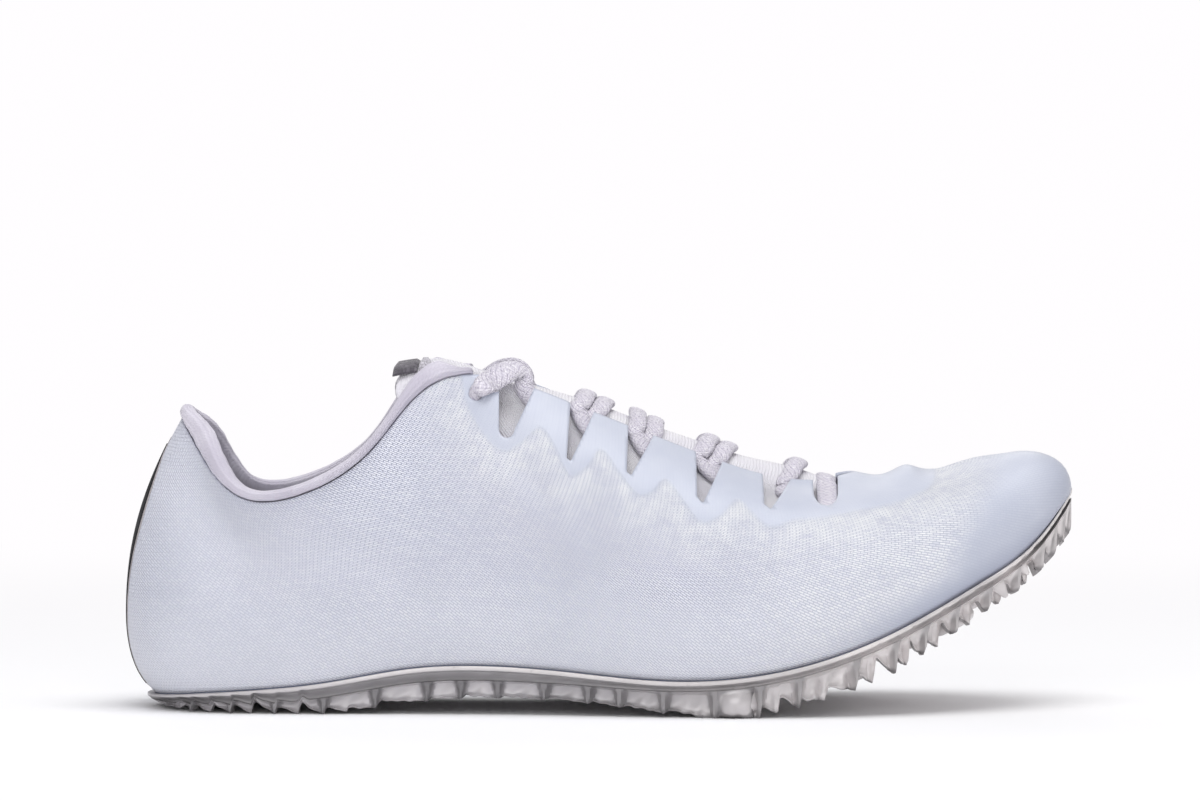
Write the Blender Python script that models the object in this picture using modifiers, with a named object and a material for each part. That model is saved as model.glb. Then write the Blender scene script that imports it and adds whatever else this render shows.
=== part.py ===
"""Track spike shoe for the right foot, standing empty on its spike plate.

+X points to the toe, +Z up, and -Y is the outer (lateral) side. All sizes are in metres. The origin
is the middle of the footprint, on the floor. Every form is worked out from the driving dimensions
below. Each table holds shares of one of them, which its heading names.
"""

import math
from collections import namedtuple

import bmesh
import bpy
import numpy as np
from mathutils import Matrix, Vector

# Driving dimensions of the shoe.
LENGTH = 0.2765
BALL_WIDTH = 0.0875
TOE_SPRING = 0.0635
INSTEP_HEIGHT = 0.0973
HEEL_HEIGHT = 0.0858

# Walls and clearances.
UPPER_WALL = 0.0014
GAP = 0.0003

# Spike plate. Its ends lie at shares of the length.
PLATE_HEEL_X = -0.4792 * LENGTH
PLATE_TOE_X = 0.4987 * LENGTH
RIM_LIP = 0.0013
BAND_DEPTH = 0.0022
BAND_INSET = 0.0017
LUG_TOP_DEPTH = 0.0044
WINDOW_INSET = 0.0021
RIB_INSET = 0.0008
LUG_LAND = 0.0036
LUG_ROOT = 0.0020
WEB = 0.0028
BOSS_RADIUS = 0.0068
BOSS_TIP_RADIUS = 0.0052
BOSS_SOCKET_RADIUS = 0.0025
BOSS_SOCKET_DEPTH = 0.0050
BOSS_SIDES = 16

# Upper.
FEATHER_INSET = 0.0015
HEEL_FLANGE = 0.0008
EYELET_RADIUS = 0.0022
EYELET_X = -0.1309 * LENGTH
EYELET_Z = 0.9455 * INSTEP_HEIGHT

# Collar binding, tongue, tab and insole.
BINDING_WIDTH = 0.0046
TONGUE_THICKNESS = 0.0020
TONGUE_TUCK = 0.0170
TONGUE_START = 0.388
TONGUE_STOP = 0.930
TONGUE_OVERHANG = -0.0020
TONGUE_DIVE = 0.0014
TONGUE_CLEAR = 0.0024
TONGUE_TIP = 0.0150
TAB_BACK = -0.2080 * LENGTH
TAB_FRONT = -0.1808 * LENGTH
TAB_LINES = 2
TAB_THICKNESS = 0.0010
TAB_LIFT = 0.0006
INSOLE_THICKNESS = 0.0030
INSOLE_MARGIN = 0.0009

# Lace.
LACE_WIDTH = 0.0058
LACE_THICKNESS = 0.0026
LACE_CLEARANCE = 0.0011
LACE_INSIDE = 0.0040

# Mesh fineness.
UPPER_COLUMNS = 34
UPPER_ROWS = 11
BINDING_COLUMNS = 44
OVAL_SIDES = 8
TONGUE_ROWS = 17
TONGUE_ACROSS = 15

# Plan of the plate's rim: at is a share of its length, the rest are shares of the ball width.
Plan = namedtuple("Plan", "at centre half")
PLAN = (
    Plan(0.00, 0.000, 0.326),
    Plan(0.10, -0.006, 0.325),
    Plan(0.19, -0.007, 0.350),
    Plan(0.31, -0.032, 0.330),
    Plan(0.42, -0.051, 0.347),
    Plan(0.50, -0.050, 0.397),
    Plan(0.57, -0.034, 0.457),
    Plan(0.65, -0.014, 0.497),
    Plan(0.72, 0.007, 0.500),
    Plan(0.80, 0.025, 0.474),
    Plan(0.90, 0.046, 0.426),
    Plan(1.00, 0.069, 0.354),
)
HEEL_ROUND = 0.115
TOE_ROUND = 0.280
TOE_BLUNT = 2.25

# Side curve of the rim: at is a share of the plate's length, rise of the toe spring.
# Depth from the rim to the lugs' tips, and from the tips up to the valleys, in shares of LUG_DEPTH.
LUG_DEPTH = 0.0120
Rocker = namedtuple("Rocker", "at rise depth tooth")
ROCKER = (
    Rocker(0.00, 0.061, 0.22, 0.06),
    Rocker(0.08, 0.093, 0.53, 0.22),
    Rocker(0.19, 0.138, 0.76, 0.26),
    Rocker(0.29, 0.208, 0.82, 0.10),
    Rocker(0.35, 0.221, 0.79, 0.07),
    Rocker(0.46, 0.196, 0.71, 0.07),
    Rocker(0.56, 0.164, 0.79, 0.10),
    Rocker(0.64, 0.181, 1.01, 0.22),
    Rocker(0.71, 0.238, 0.96, 0.30),
    Rocker(0.80, 0.377, 1.00, 0.34),
    Rocker(0.90, 0.604, 0.84, 0.34),
    Rocker(0.965, 0.806, 0.85, 0.34),
    Rocker(1.00, 1.000, 1.00, 0.34),
)

# Lugs: from each share of the half perimeter on, one lug each pitch, in shares of the length.
LugPitch = namedtuple("LugPitch", "at pitch")
LUG_PITCH = (
    LugPitch(0.00, 0.024),
    LugPitch(0.16, 0.042),
    LugPitch(0.30, 0.046),
    LugPitch(0.45, 0.040),
    LugPitch(0.62, 0.034),
    LugPitch(0.78, 0.028),
    LugPitch(1.00, 0.022),
)
TIP_START = 0.34
TIP_END = 0.66

# Spike bosses: x as a share of the plate's length, y as a share of the rim's half width there.
Boss = namedtuple("Boss", "at across")
BOSSES = (
    Boss(0.640, -0.80),
    Boss(0.745, -0.76),
    Boss(0.855, -0.66),
    Boss(0.675, 0.78),
    Boss(0.785, 0.76),
    Boss(0.865, 0.66),
    Boss(0.885, -0.02),
)

# Upper, a row for each section from the heel (0) to the toe (1) along the half perimeter.
# bulge and swell are how far the widest line stands out of the feather line, and above it, in
# shares of the ball width. edge_x is in shares of the length, edge_y of the ball width, edge_z of
# the instep height. slope is the wall's fall at the edge in degrees. back and lift move the inner
# side's edge, in shares of the length and of the instep height.
Section = namedtuple("Section", "at bulge swell edge_x edge_y edge_z slope back lift")
SECTIONS = (
    Section(0.00, 0.092, 0.262, -0.4387, 0.000, 0.882, 60, 0.000, 0.000),
    Section(0.06, 0.083, 0.262, -0.4322, 0.091, 0.832, 62, 0.000, 0.002),
    Section(0.13, 0.058, 0.252, -0.4116, 0.211, 0.725, 70, 0.000, 0.012),
    Section(0.20, 0.043, 0.229, -0.3707, 0.300, 0.633, 82, 0.000, 0.018),
    Section(0.27, 0.039, 0.206, -0.3092, 0.322, 0.651, 82, -0.004, 0.018),
    Section(0.34, 0.037, 0.190, -0.2423, 0.278, 0.769, 70, -0.009, 0.012),
    Section(0.40, 0.037, 0.177, -0.1953, 0.209, 0.928, 58, -0.010, 0.004),
    Section(0.47, 0.038, 0.165, -0.1374, 0.171, 1.000, 48, -0.004, 0.000),
    Section(0.58, 0.041, 0.149, -0.0325, 0.167, 0.917, 40, 0.000, 0.000),
    Section(0.70, 0.039, 0.131, 0.0796, 0.162, 0.791, 33, 0.000, 0.000),
    Section(0.82, 0.030, 0.110, 0.1772, 0.146, 0.697, 22, 0.000, 0.000),
    Section(0.93, 0.021, 0.072, 0.2459, 0.098, 0.689, 5, 0.000, 0.000),
    Section(1.00, 0.016, 0.004, 0.2676, 0.000, 0.702, -3, 0.000, 0.000),
)
LOW_CORNER = 0.30
RISE_SHARE = 0.35
REACH_SHARE = 0.40

# Lace notches seen from the side: top_back, top_front, foot and foot_z are where the cut's rear
# and front corners and its foot lie, in shares of the length and of the instep height. A row with
# a round foot is a U.
Notch = namedtuple("Notch", "top_back top_front foot foot_z foot_round")
NOTCHES = (
    Notch(-0.1065, -0.0700, -0.0985, 0.817, 0.0045),
    Notch(-0.0335, -0.0110, -0.0378, 0.779, 0.0015),
    Notch(0.0215, 0.0425, 0.0190, 0.741, 0.0018),
    Notch(0.0990, 0.1270, 0.1035, 0.625, 0.0020),
    Notch(0.1690, 0.1990, 0.1730, 0.600, 0.0018),
    Notch(0.2216, 0.2486, 0.2350, 0.617, 0.0070),
)
NOTCH_TOP = 1.10

# Where the lace crosses the upper's edge, from the front, in shares of the length.
LACE_HOLES = (0.235, 0.184, 0.112, 0.043, -0.022, -0.087)

# Binding: how tall the rolled edge stands above the upper's edge, in shares of the ball width.
Roll = namedtuple("Roll", "at tall")
ROLL = (
    Roll(0.00, 0.048),
    Roll(0.08, 0.074),
    Roll(0.20, 0.040),
    Roll(0.30, 0.034),
    Roll(0.38, 0.040),
    Roll(0.46, 0.064),
    Roll(0.50, 0.036),
)
BINDING_END = 0.475

# Tongue: height of its middle line, at is a share of the length, height of the instep height.
Crest = namedtuple("Crest", "at height")
CREST = (
    Crest(-0.214, 1.021),
    Crest(-0.190, 1.024),
    Crest(-0.160, 1.011),
    Crest(-0.110, 0.988),
    Crest(-0.063, 0.938),
    Crest(0.000, 0.869),
    Crest(0.083, 0.779),
    Crest(0.148, 0.718),
    Crest(0.211, 0.690),
    Crest(0.262, 0.676),
)


def spline(at, values, mirrored=0):
    """A natural cubic spline. mirrored 1 or -1 repeats it past both ends as an even or odd curve."""
    at, values = np.asarray(at, float), np.asarray(values, float)
    if mirrored:
        before, after = 2 * at[0] - at[:0:-1], 2 * at[-1] - at[-2::-1]
        flipped = mirrored * values
        values = np.concatenate([flipped[:0:-1], values, flipped[-2::-1]])
        at = np.concatenate([before, at, after])
    gap, count = np.diff(at), len(at)
    system, right = np.eye(count), np.zeros(count)
    for i in range(1, count - 1):
        system[i, i - 1 : i + 2] = gap[i - 1], 2 * (gap[i - 1] + gap[i]), gap[i]
        slopes = np.diff(values[i - 1 : i + 2]) / gap[i - 1 : i + 1]
        right[i] = 6 * (slopes[1] - slopes[0])
    bend = np.linalg.solve(system, right)

    def value(where):
        where = np.clip(where, at[0], at[-1])
        i = np.clip(np.searchsorted(at, where) - 1, 0, count - 2)
        a, b, h = at[i + 1] - where, where - at[i], gap[i]
        curved = (bend[i] * a**3 + bend[i + 1] * b**3) / (6 * h)
        return curved + (values[i] / h - bend[i] * h / 6) * a + (values[i + 1] / h - bend[i + 1] * h / 6) * b

    return value


def column(table, field, mirrored=0):
    """One column of a table as a spline over its at column."""
    return spline([row.at for row in table], [getattr(row, field) for row in table], mirrored)


def unit(vectors):
    return vectors / np.maximum(np.linalg.norm(vectors, axis=-1, keepdims=True), 1e-12)


# The plate's plan and side curve as functions of at, the share of its length.
PLATE_LENGTH = PLATE_TOE_X - PLATE_HEEL_X
plan_centre, plan_half = column(PLAN, "centre"), column(PLAN, "half")
rocker_rise = column(ROCKER, "rise")
rocker_depth, rocker_tooth = column(ROCKER, "depth"), column(ROCKER, "tooth")


def end_round(at):
    """1 along the middle, falling to 0 as a quarter ellipse at the heel and a blunter one at the toe."""
    heel = np.clip((HEEL_ROUND - at) / HEEL_ROUND, 0, 1)
    toe = np.clip((at - 1 + TOE_ROUND) / TOE_ROUND, 0, 1)
    return np.sqrt(1 - heel**2) * (1 - toe**TOE_BLUNT) ** (1 / TOE_BLUNT)


def rim_height(x):
    return TOE_SPRING * rocker_rise((x - PLATE_HEEL_X) / PLATE_LENGTH)


def rim_plan(at, side):
    """The rim's x and y at a share of the plate's length, side -1 outer or +1 inner."""
    half = BALL_WIDTH * plan_half(at) * end_round(at)
    return np.stack([PLATE_HEEL_X + PLATE_LENGTH * at, BALL_WIDTH * plan_centre(at) + side * half], -1)


def stations():
    """Even steps along the half perimeter, the mean of both sides, as shares of the plate's length."""
    at = (1 - np.cos(np.linspace(0, math.pi, 2001))) / 2
    steps = [np.linalg.norm(np.diff(rim_plan(at, side), axis=0), axis=1) for side in (-1, 1)]
    run = np.concatenate([[0], np.cumsum(steps[0] + steps[1])])
    return run / run[-1], at, run[-1] / 2


RUN, RUN_AT, HALF_PERIMETER = stations()


def rim(share, side):
    """The rim's plan point at a share of the half perimeter, and the outward direction there."""
    share = np.asarray(share, float)
    step = 0.002
    before, after = np.maximum(share - step, 0), np.minimum(share + step, 1)
    point = rim_plan(np.interp(share, RUN, RUN_AT), side)
    ahead = rim_plan(np.interp(after, RUN, RUN_AT), side)
    behind = rim_plan(np.interp(before, RUN, RUN_AT), side)
    # At the two tips the other side's point closes the step, so the direction there is along X.
    ahead = np.where((share + step > 1)[..., None], rim_plan(np.interp(2 - share - step, RUN, RUN_AT), -side), ahead)
    behind = np.where((share - step < 0)[..., None], rim_plan(np.interp(step - share, RUN, RUN_AT), -side), behind)
    along = unit(ahead - behind)
    return point, np.stack([-side * along[..., 1], side * along[..., 0]], -1)


def feather(share, side):
    """The line where the upper meets the plate, set in from the rim, more so round the heel."""
    point, outward = rim(share, side)
    inset = FEATHER_INSET + HEEL_FLANGE * np.clip(1 - share / HEEL_ROUND, 0, 1) ** 2
    plan = point - outward * inset[..., None]
    return np.concatenate([plan, (rim_height(plan[..., 0]) + GAP)[..., None]], -1), outward


section = {name: column(SECTIONS, name, 1) for name in Section._fields[1:]}
section["edge_y"] = column(SECTIONS, "edge_y", -1)


def meridians(share, side, rows):
    """The upper's outer face: for each share a line from the feather line to the edge, as rows points.

    It is a curve that bellies out to the widest line, then one that turns in to the edge.
    """
    share = np.asarray(share, float)
    inner = (1 + side) / 2
    foot, outward = feather(share, side)
    wide = foot.copy()
    wide[:, :2] += outward * (BALL_WIDTH * section["bulge"](share))[:, None]
    wide[:, 2] += BALL_WIDTH * section["swell"](share)
    middle = 1 - np.abs(2 * share - 1)
    edge = np.stack(
        [
            LENGTH * (section["edge_x"](share) + inner * section["back"](share)),
            side * BALL_WIDTH * section["edge_y"](share),
            INSTEP_HEIGHT * (section["edge_z"](share) + inner * section["lift"](share)),
        ],
        -1,
    )
    edge[:, 2] += (HEEL_HEIGHT - INSTEP_HEIGHT * SECTIONS[0].edge_z) * np.clip(1 - share / 0.2, 0, 1)
    span = np.linalg.norm(wide - edge, axis=1)[:, None]
    out = np.concatenate([unit(wide[:, :2] - edge[:, :2]), np.zeros((len(share), 1))], -1)
    slope = np.radians(section["slope"](share))[:, None]
    up = np.array([0.0, 0.0, 1.0])
    low = wide.copy()
    low[:, 2] = foot[:, 2] + LOW_CORNER * (wide[:, 2] - foot[:, 2])
    rise = wide + up * span * (RISE_SHARE + 0.0 * middle[:, None])
    reach = edge + span * REACH_SHARE * (out * np.cos(slope) - up * np.sin(slope))
    t = np.linspace(0, 1, 60)[None, :, None]
    below = (1 - t) ** 2 * foot[:, None] + 2 * t * (1 - t) * low[:, None] + t**2 * wide[:, None]
    above = (
        (1 - t) ** 3 * wide[:, None]
        + 3 * t * (1 - t) ** 2 * rise[:, None]
        + 3 * t**2 * (1 - t) * reach[:, None]
        + t**3 * edge[:, None]
    )
    line = np.concatenate([below, above[:, 1:]], axis=1)
    return np.stack([evenly(one, rows) for one in line])


def evenly(line, count):
    """The line again as count points at even distances."""
    run = np.concatenate([[0], np.cumsum(np.linalg.norm(np.diff(line, axis=0), axis=1))])
    return np.stack([np.interp(np.linspace(0, run[-1], count), run, line[:, k]) for k in range(3)], -1)


def round_the_shoe(count):
    """Shares and sides of the columns round the shoe: outer side heel to toe, then back inside."""
    share = np.linspace(0, 1, count + 1)
    return [(share, -1), (share[-2:0:-1], 1)]


def upper_face(count, rows):
    return np.concatenate([meridians(share, side, rows) for share, side in round_the_shoe(count)])


def mesh_object(name, points, faces, collection):
    mesh = bpy.data.meshes.new(name)
    mesh.from_pydata([tuple(p) for p in np.asarray(points).reshape(-1, 3)], [], [tuple(map(int, f)) for f in faces])
    obj = bpy.data.objects.new(name, mesh)
    collection.objects.link(obj)
    return obj


def ring_faces(columns, rows, closed=True):
    """Quads of a grid of columns by rows, its columns joined round into a ring if closed."""
    last = columns if closed else columns - 1
    faces = []
    for i in range(last):
        j = (i + 1) % columns
        for k in range(rows - 1):
            faces.append((i * rows + k, j * rows + k, j * rows + k + 1, i * rows + k + 1))
    return faces


def outwards(obj):
    """Closes small gaps and turns every face outwards."""
    cage = bmesh.new()
    cage.from_mesh(obj.data)
    bmesh.ops.remove_doubles(cage, verts=cage.verts, dist=1e-6)
    bmesh.ops.recalc_face_normals(cage, faces=cage.faces)
    cage.to_mesh(obj.data)
    cage.free()
    return obj


def smooth(obj, angle=50):
    obj.data.shade_smooth()
    obj.data.set_sharp_from_angle(angle=math.radians(angle))
    return obj


def material(name, colour, roughness, metallic=0.0):
    made = bpy.data.materials.new(name)
    made.use_nodes = True
    shader = made.node_tree.nodes["Principled BSDF"]
    shader.inputs["Base Color"].default_value = (*colour, 1)
    shader.inputs["Roughness"].default_value = roughness
    shader.inputs["Metallic"].default_value = metallic
    return made


def boolean(obj, other, operation):
    cut = obj.modifiers.new(operation.title() + " " + other.name, "BOOLEAN")
    cut.operation = operation
    cut.object = other


def helper(obj):
    obj.hide_render = True
    obj.display_type = "WIRE"
    return obj


def prism(name, outline, low_y, high_y, collection):
    """A cutter: an outline of (x, z) corners, pushed through from low_y to high_y."""
    count = len(outline)
    points = [(x, y, z) for y in (low_y, high_y) for x, z in outline]
    faces = [tuple(range(count)), tuple(range(2 * count - 1, count - 1, -1))]
    faces += [(i, i + count, (i + 1) % count + count, (i + 1) % count) for i in range(count)]
    return helper(outwards(mesh_object(name, points, faces, collection)))


def notch_outline(notch):
    """The notch's corners from the side: rear wall, rounded foot, slanted front, and a clear top."""
    back, front = LENGTH * notch.top_back, LENGTH * notch.top_front
    foot, floor, top = LENGTH * notch.foot, INSTEP_HEIGHT * notch.foot_z, INSTEP_HEIGHT * NOTCH_TOP
    flat = notch.foot_round / 2
    steps = np.linspace(math.pi, 2 * math.pi, 7)
    edge_z = INSTEP_HEIGHT * float(np.interp(front, EDGE_X, EDGE_Z))
    arc = [(foot + flat * math.cos(a), floor + min(flat, 0.0035) * (1 + math.sin(a))) for a in steps]
    # The slanted front wall runs on upwards past the edge with the same lean.
    lean = max(front - arc[-1][0], 0) / max(edge_z - arc[-1][1], 1e-4)
    return [(back, top)] + arc + [(arc[-1][0] + lean * (top - arc[-1][1]), top)]


EDGE_X = [LENGTH * row.edge_x for row in SECTIONS[7:]]
EDGE_Z = [row.edge_z for row in SECTIONS[7:]]


def make_upper(collection, cutters):
    """One hollow wall from the feather line to the collar and throat, with the lace notches cut."""
    face = upper_face(UPPER_COLUMNS, UPPER_ROWS)
    upper = mesh_object("upper", face, ring_faces(len(face), UPPER_ROWS), collection)
    wall = upper.modifiers.new("Wall", "SOLIDIFY")
    wall.thickness, wall.offset, wall.use_even_offset = UPPER_WALL, -1, True
    reach = BALL_WIDTH
    for number, notch in enumerate(NOTCHES, 1):
        cutter = prism(f"notch_cutter_{number}", notch_outline(notch), -reach, reach, cutters)
        boolean(upper, cutter, "DIFFERENCE")
    ring = [
        (EYELET_X + EYELET_RADIUS * math.cos(a), EYELET_Z + EYELET_RADIUS * math.sin(a))
        for a in np.linspace(0, 2 * math.pi, 13)[:-1]
    ]
    boolean(upper, prism("eyelet_cutter", ring, -reach, reach, cutters), "DIFFERENCE")
    upper.data.materials.append(material("knit_upper", (0.80, 0.83, 0.92), 0.55))
    return smooth(upper)


def lug_columns():
    """Shares of the half perimeter at each valley and at both ends of each tip, and a tip flag."""
    pitch = spline([row.at for row in LUG_PITCH], [row.pitch for row in LUG_PITCH])
    starts = [0.0]
    while starts[-1] < 1:
        starts.append(starts[-1] + float(pitch(starts[-1])) * LENGTH / HALF_PERIMETER)
    starts = np.array(starts) / starts[-1]
    shares, tips = [], []
    for start, end in zip(starts[:-1], starts[1:]):
        shares += [start, start + TIP_START * (end - start), start + TIP_END * (end - start)]
        tips += [0, 1, 1]
    return np.array(shares + [1.0]), np.array(tips + [0])


def plate_ring(share, side, tip):
    """Rings of the plate's wall from the rim's top down round the lugs and up to the web."""
    point, outward = rim(share, side)
    height = rim_height(point[:, 0])
    at = np.clip((point[:, 0] - PLATE_HEEL_X) / PLATE_LENGTH, 0, 1)
    depth = LUG_DEPTH * (rocker_depth(at) - np.where(tip, 0, rocker_tooth(at)))
    face_inset = np.where(tip, RIB_INSET, WINDOW_INSET)
    drop = height - np.maximum(height - depth, 0)
    near_end = np.minimum(1, np.minimum(share, 1 - share) / 0.06)
    lip = np.minimum(RIM_LIP, 0.25 * drop)
    band = np.minimum(BAND_DEPTH, 0.45 * drop)
    lug_top = np.minimum(LUG_TOP_DEPTH, 0.70 * drop)
    web = np.minimum(WEB, 0.70 * drop)
    levels = (
        (0.0, 0.0),
        (0.0, lip),
        (BAND_INSET, band),
        (face_inset, lug_top),
        (face_inset + 0.0004, depth),
        (face_inset + LUG_LAND, depth),
        (face_inset + LUG_LAND + LUG_ROOT, web),
    )
    rows = []
    for inset, below in levels:
        inset = np.broadcast_to(np.asarray(inset) * (0.4 + 0.6 * near_end), share.shape)
        plan = point - outward * inset[:, None]
        rows.append(np.c_[plan, np.maximum(rim_height(plan[:, 0]) - below, 0)])
    return np.stack(rows, 1)


def make_plate(collection, cutters):
    """The stiff plate: rim lip, shadow band, ribbed lug wall, web, and bosses that take the spikes."""
    share, tip = lug_columns()
    outer = plate_ring(share, -1, tip)
    inner = plate_ring(share[-2:0:-1], 1, tip[-2:0:-1])
    rings = np.concatenate([outer, inner])
    columns, rows = rings.shape[:2]
    faces = ring_faces(columns, rows)
    last = len(share) - 1
    for row in (0, rows - 1):
        for i in range(last):
            mate, next_mate = (columns - i) % columns, (columns - i - 1) % columns
            quad = [i * rows + row, (i + 1) * rows + row, next_mate * rows + row, mate * rows + row]
            faces.append(tuple(dict.fromkeys(quad)))
    plate = outwards(mesh_object("spike_plate", rings, faces, collection))
    for number, boss in enumerate(BOSSES, 1):
        add_boss(plate, number, boss, cutters)
    plate.data.materials.append(material("moulded_plate", (0.52, 0.52, 0.53), 0.38))
    return smooth(plate, 30)


def cone(name, top, axis, length, start_radius, end_radius, collection):
    """A round helper that starts at top and runs along axis."""
    cage = bmesh.new()
    middle = top + axis * length / 2
    turn = axis.to_track_quat("Z", "Y").to_matrix().to_4x4()
    bmesh.ops.create_cone(
        cage,
        cap_ends=True,
        segments=BOSS_SIDES,
        radius1=start_radius,
        radius2=end_radius,
        depth=length,
        matrix=Matrix.Translation(middle) @ turn,
    )
    mesh = bpy.data.meshes.new(name)
    cage.to_mesh(mesh)
    cage.free()
    obj = bpy.data.objects.new(name, mesh)
    collection.objects.link(obj)
    return helper(obj)


def add_boss(plate, number, boss, cutters):
    """Joins one boss to the web, square to it, and cuts its blind socket for a spike."""
    half = BALL_WIDTH * float(plan_half(boss.at) * end_round(boss.at))
    x = PLATE_HEEL_X + PLATE_LENGTH * boss.at
    y = BALL_WIDTH * float(plan_centre(boss.at)) + boss.across * half
    slope = (float(rim_height(x + 0.002)) - float(rim_height(x - 0.002))) / 0.004
    axis = Vector((slope, 0, -1)).normalized()
    height = float(rim_height(x))
    depth = min(LUG_DEPTH * float(rocker_depth(boss.at)), height - 0.0008) - 0.0006
    start = Vector((x, y, height)) + axis * (WEB * 0.5)
    length = depth - WEB * 0.5
    body = cone(f"boss_{number}", start, axis, length, BOSS_RADIUS, BOSS_TIP_RADIUS, cutters)
    mouth = start + axis * (length - BOSS_SOCKET_DEPTH)
    socket = cone(
        f"socket_{number}", mouth, axis, 2 * BOSS_SOCKET_DEPTH, BOSS_SOCKET_RADIUS, BOSS_SOCKET_RADIUS, cutters
    )
    boolean(plate, body, "UNION")
    boolean(plate, socket, "DIFFERENCE")


def make_insole(collection):
    """The sockliner: it fills the plate's top inside the upper's wall."""
    share = np.linspace(0, 1, 29)
    rings = []
    for shares, side in ((share, -1), (share[-2:0:-1], 1)):
        foot, outward = feather(shares, side)
        plan = foot[:, :2] - outward * (UPPER_WALL + INSOLE_MARGIN)
        low = rim_height(plan[:, 0]) + GAP
        rings.append(np.stack([np.c_[plan, low], np.c_[plan, low + INSOLE_THICKNESS]], 1))
    rings = np.concatenate(rings)
    columns = len(rings)
    faces = ring_faces(columns, 2)
    for row in (0, 1):
        for i in range(len(share) - 1):
            mate, next_mate = (columns - i) % columns, (columns - i - 1) % columns
            quad = [i * 2 + row, (i + 1) * 2 + row, next_mate * 2 + row, mate * 2 + row]
            faces.append(tuple(dict.fromkeys(quad)))
    insole = outwards(mesh_object("insole", rings, faces, collection))
    insole.data.materials.append(material("sockliner", (0.62, 0.62, 0.70), 0.8))
    return smooth(insole)


def edge_frame(share, side):
    """Edge points with the wall's own upward and outward directions there."""
    lines = meridians(share, side, 40)
    edge, below = lines[:, -1], lines[:, -3]
    up = unit(edge - below)
    step = 0.003
    shifted = [meridians(np.clip(share + d, 0, 1), side, 40)[:, -1] for d in (-step, step)]
    along = unit(shifted[1] - shifted[0])
    along = np.where((share < step)[:, None], np.array([0.0, -side * -1.0, 0.0]), along)
    out = unit(np.cross(along, up)) * side
    return edge, up, -out


def oval(centre, up, out, tall, wide, sides):
    """A ring of points round each centre: an oval, tall along up and wide along out."""
    angle = np.linspace(0, 2 * math.pi, sides + 1)[:-1] + math.pi / sides
    across = np.cos(angle)[None, :, None] * out[:, None] * wide[:, None, None] / 2
    return centre[:, None] + across + np.sin(angle)[None, :, None] * up[:, None] * tall[:, None, None] / 2


def swept(name, rings, collection):
    """A closed tube through rings of points, with flat ends."""
    count, sides = rings.shape[:2]
    faces = []
    for i in range(count - 1):
        for k in range(sides):
            j = (k + 1) % sides
            faces.append((i * sides + k, i * sides + j, (i + 1) * sides + j, (i + 1) * sides + k))
    faces += [tuple(range(sides)), tuple(range((count - 1) * sides, count * sides))]
    return outwards(mesh_object(name, rings, faces, collection))


def make_binding(collection):
    """The padded rolled edge of the collar, from one side of the throat round the heel to the other."""
    half = np.linspace(0, BINDING_END, BINDING_COLUMNS // 2 + 1)
    tall = column(ROLL, "tall", 1)
    rings = []
    for share, side in ((half[::-1], -1), (half[1:], 1)):
        edge, up, out = edge_frame(share, side)
        height = BALL_WIDTH * tall(share)
        taper = np.clip((BINDING_END - share) / 0.03, 0.45, 1)
        height = height * taper
        centre = edge + up * (height / 2 + 2 * GAP)[:, None] - out * (UPPER_WALL / 2)
        rings.append(oval(centre, up, out, height, np.full(len(share), BINDING_WIDTH), OVAL_SIDES))
    binding = swept("collar_binding", np.concatenate(rings), collection)
    binding.data.materials.append(material("collar_knit", (0.83, 0.81, 0.88), 0.75))
    return smooth(binding)


def roof_height(x, y):
    """How high the upper's outer face is over the toe, at points in plan."""
    share = np.linspace(0.80, 1, 60)
    face = np.concatenate([meridians(share, side, 60)[:, 20:].reshape(-1, 3) for side in (-1, 1)])
    near = ((face[None, :, 0] - x[:, None]) ** 2 + (face[None, :, 1] - y[:, None]) ** 2).argmin(1)
    return face[near, 2]


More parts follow.
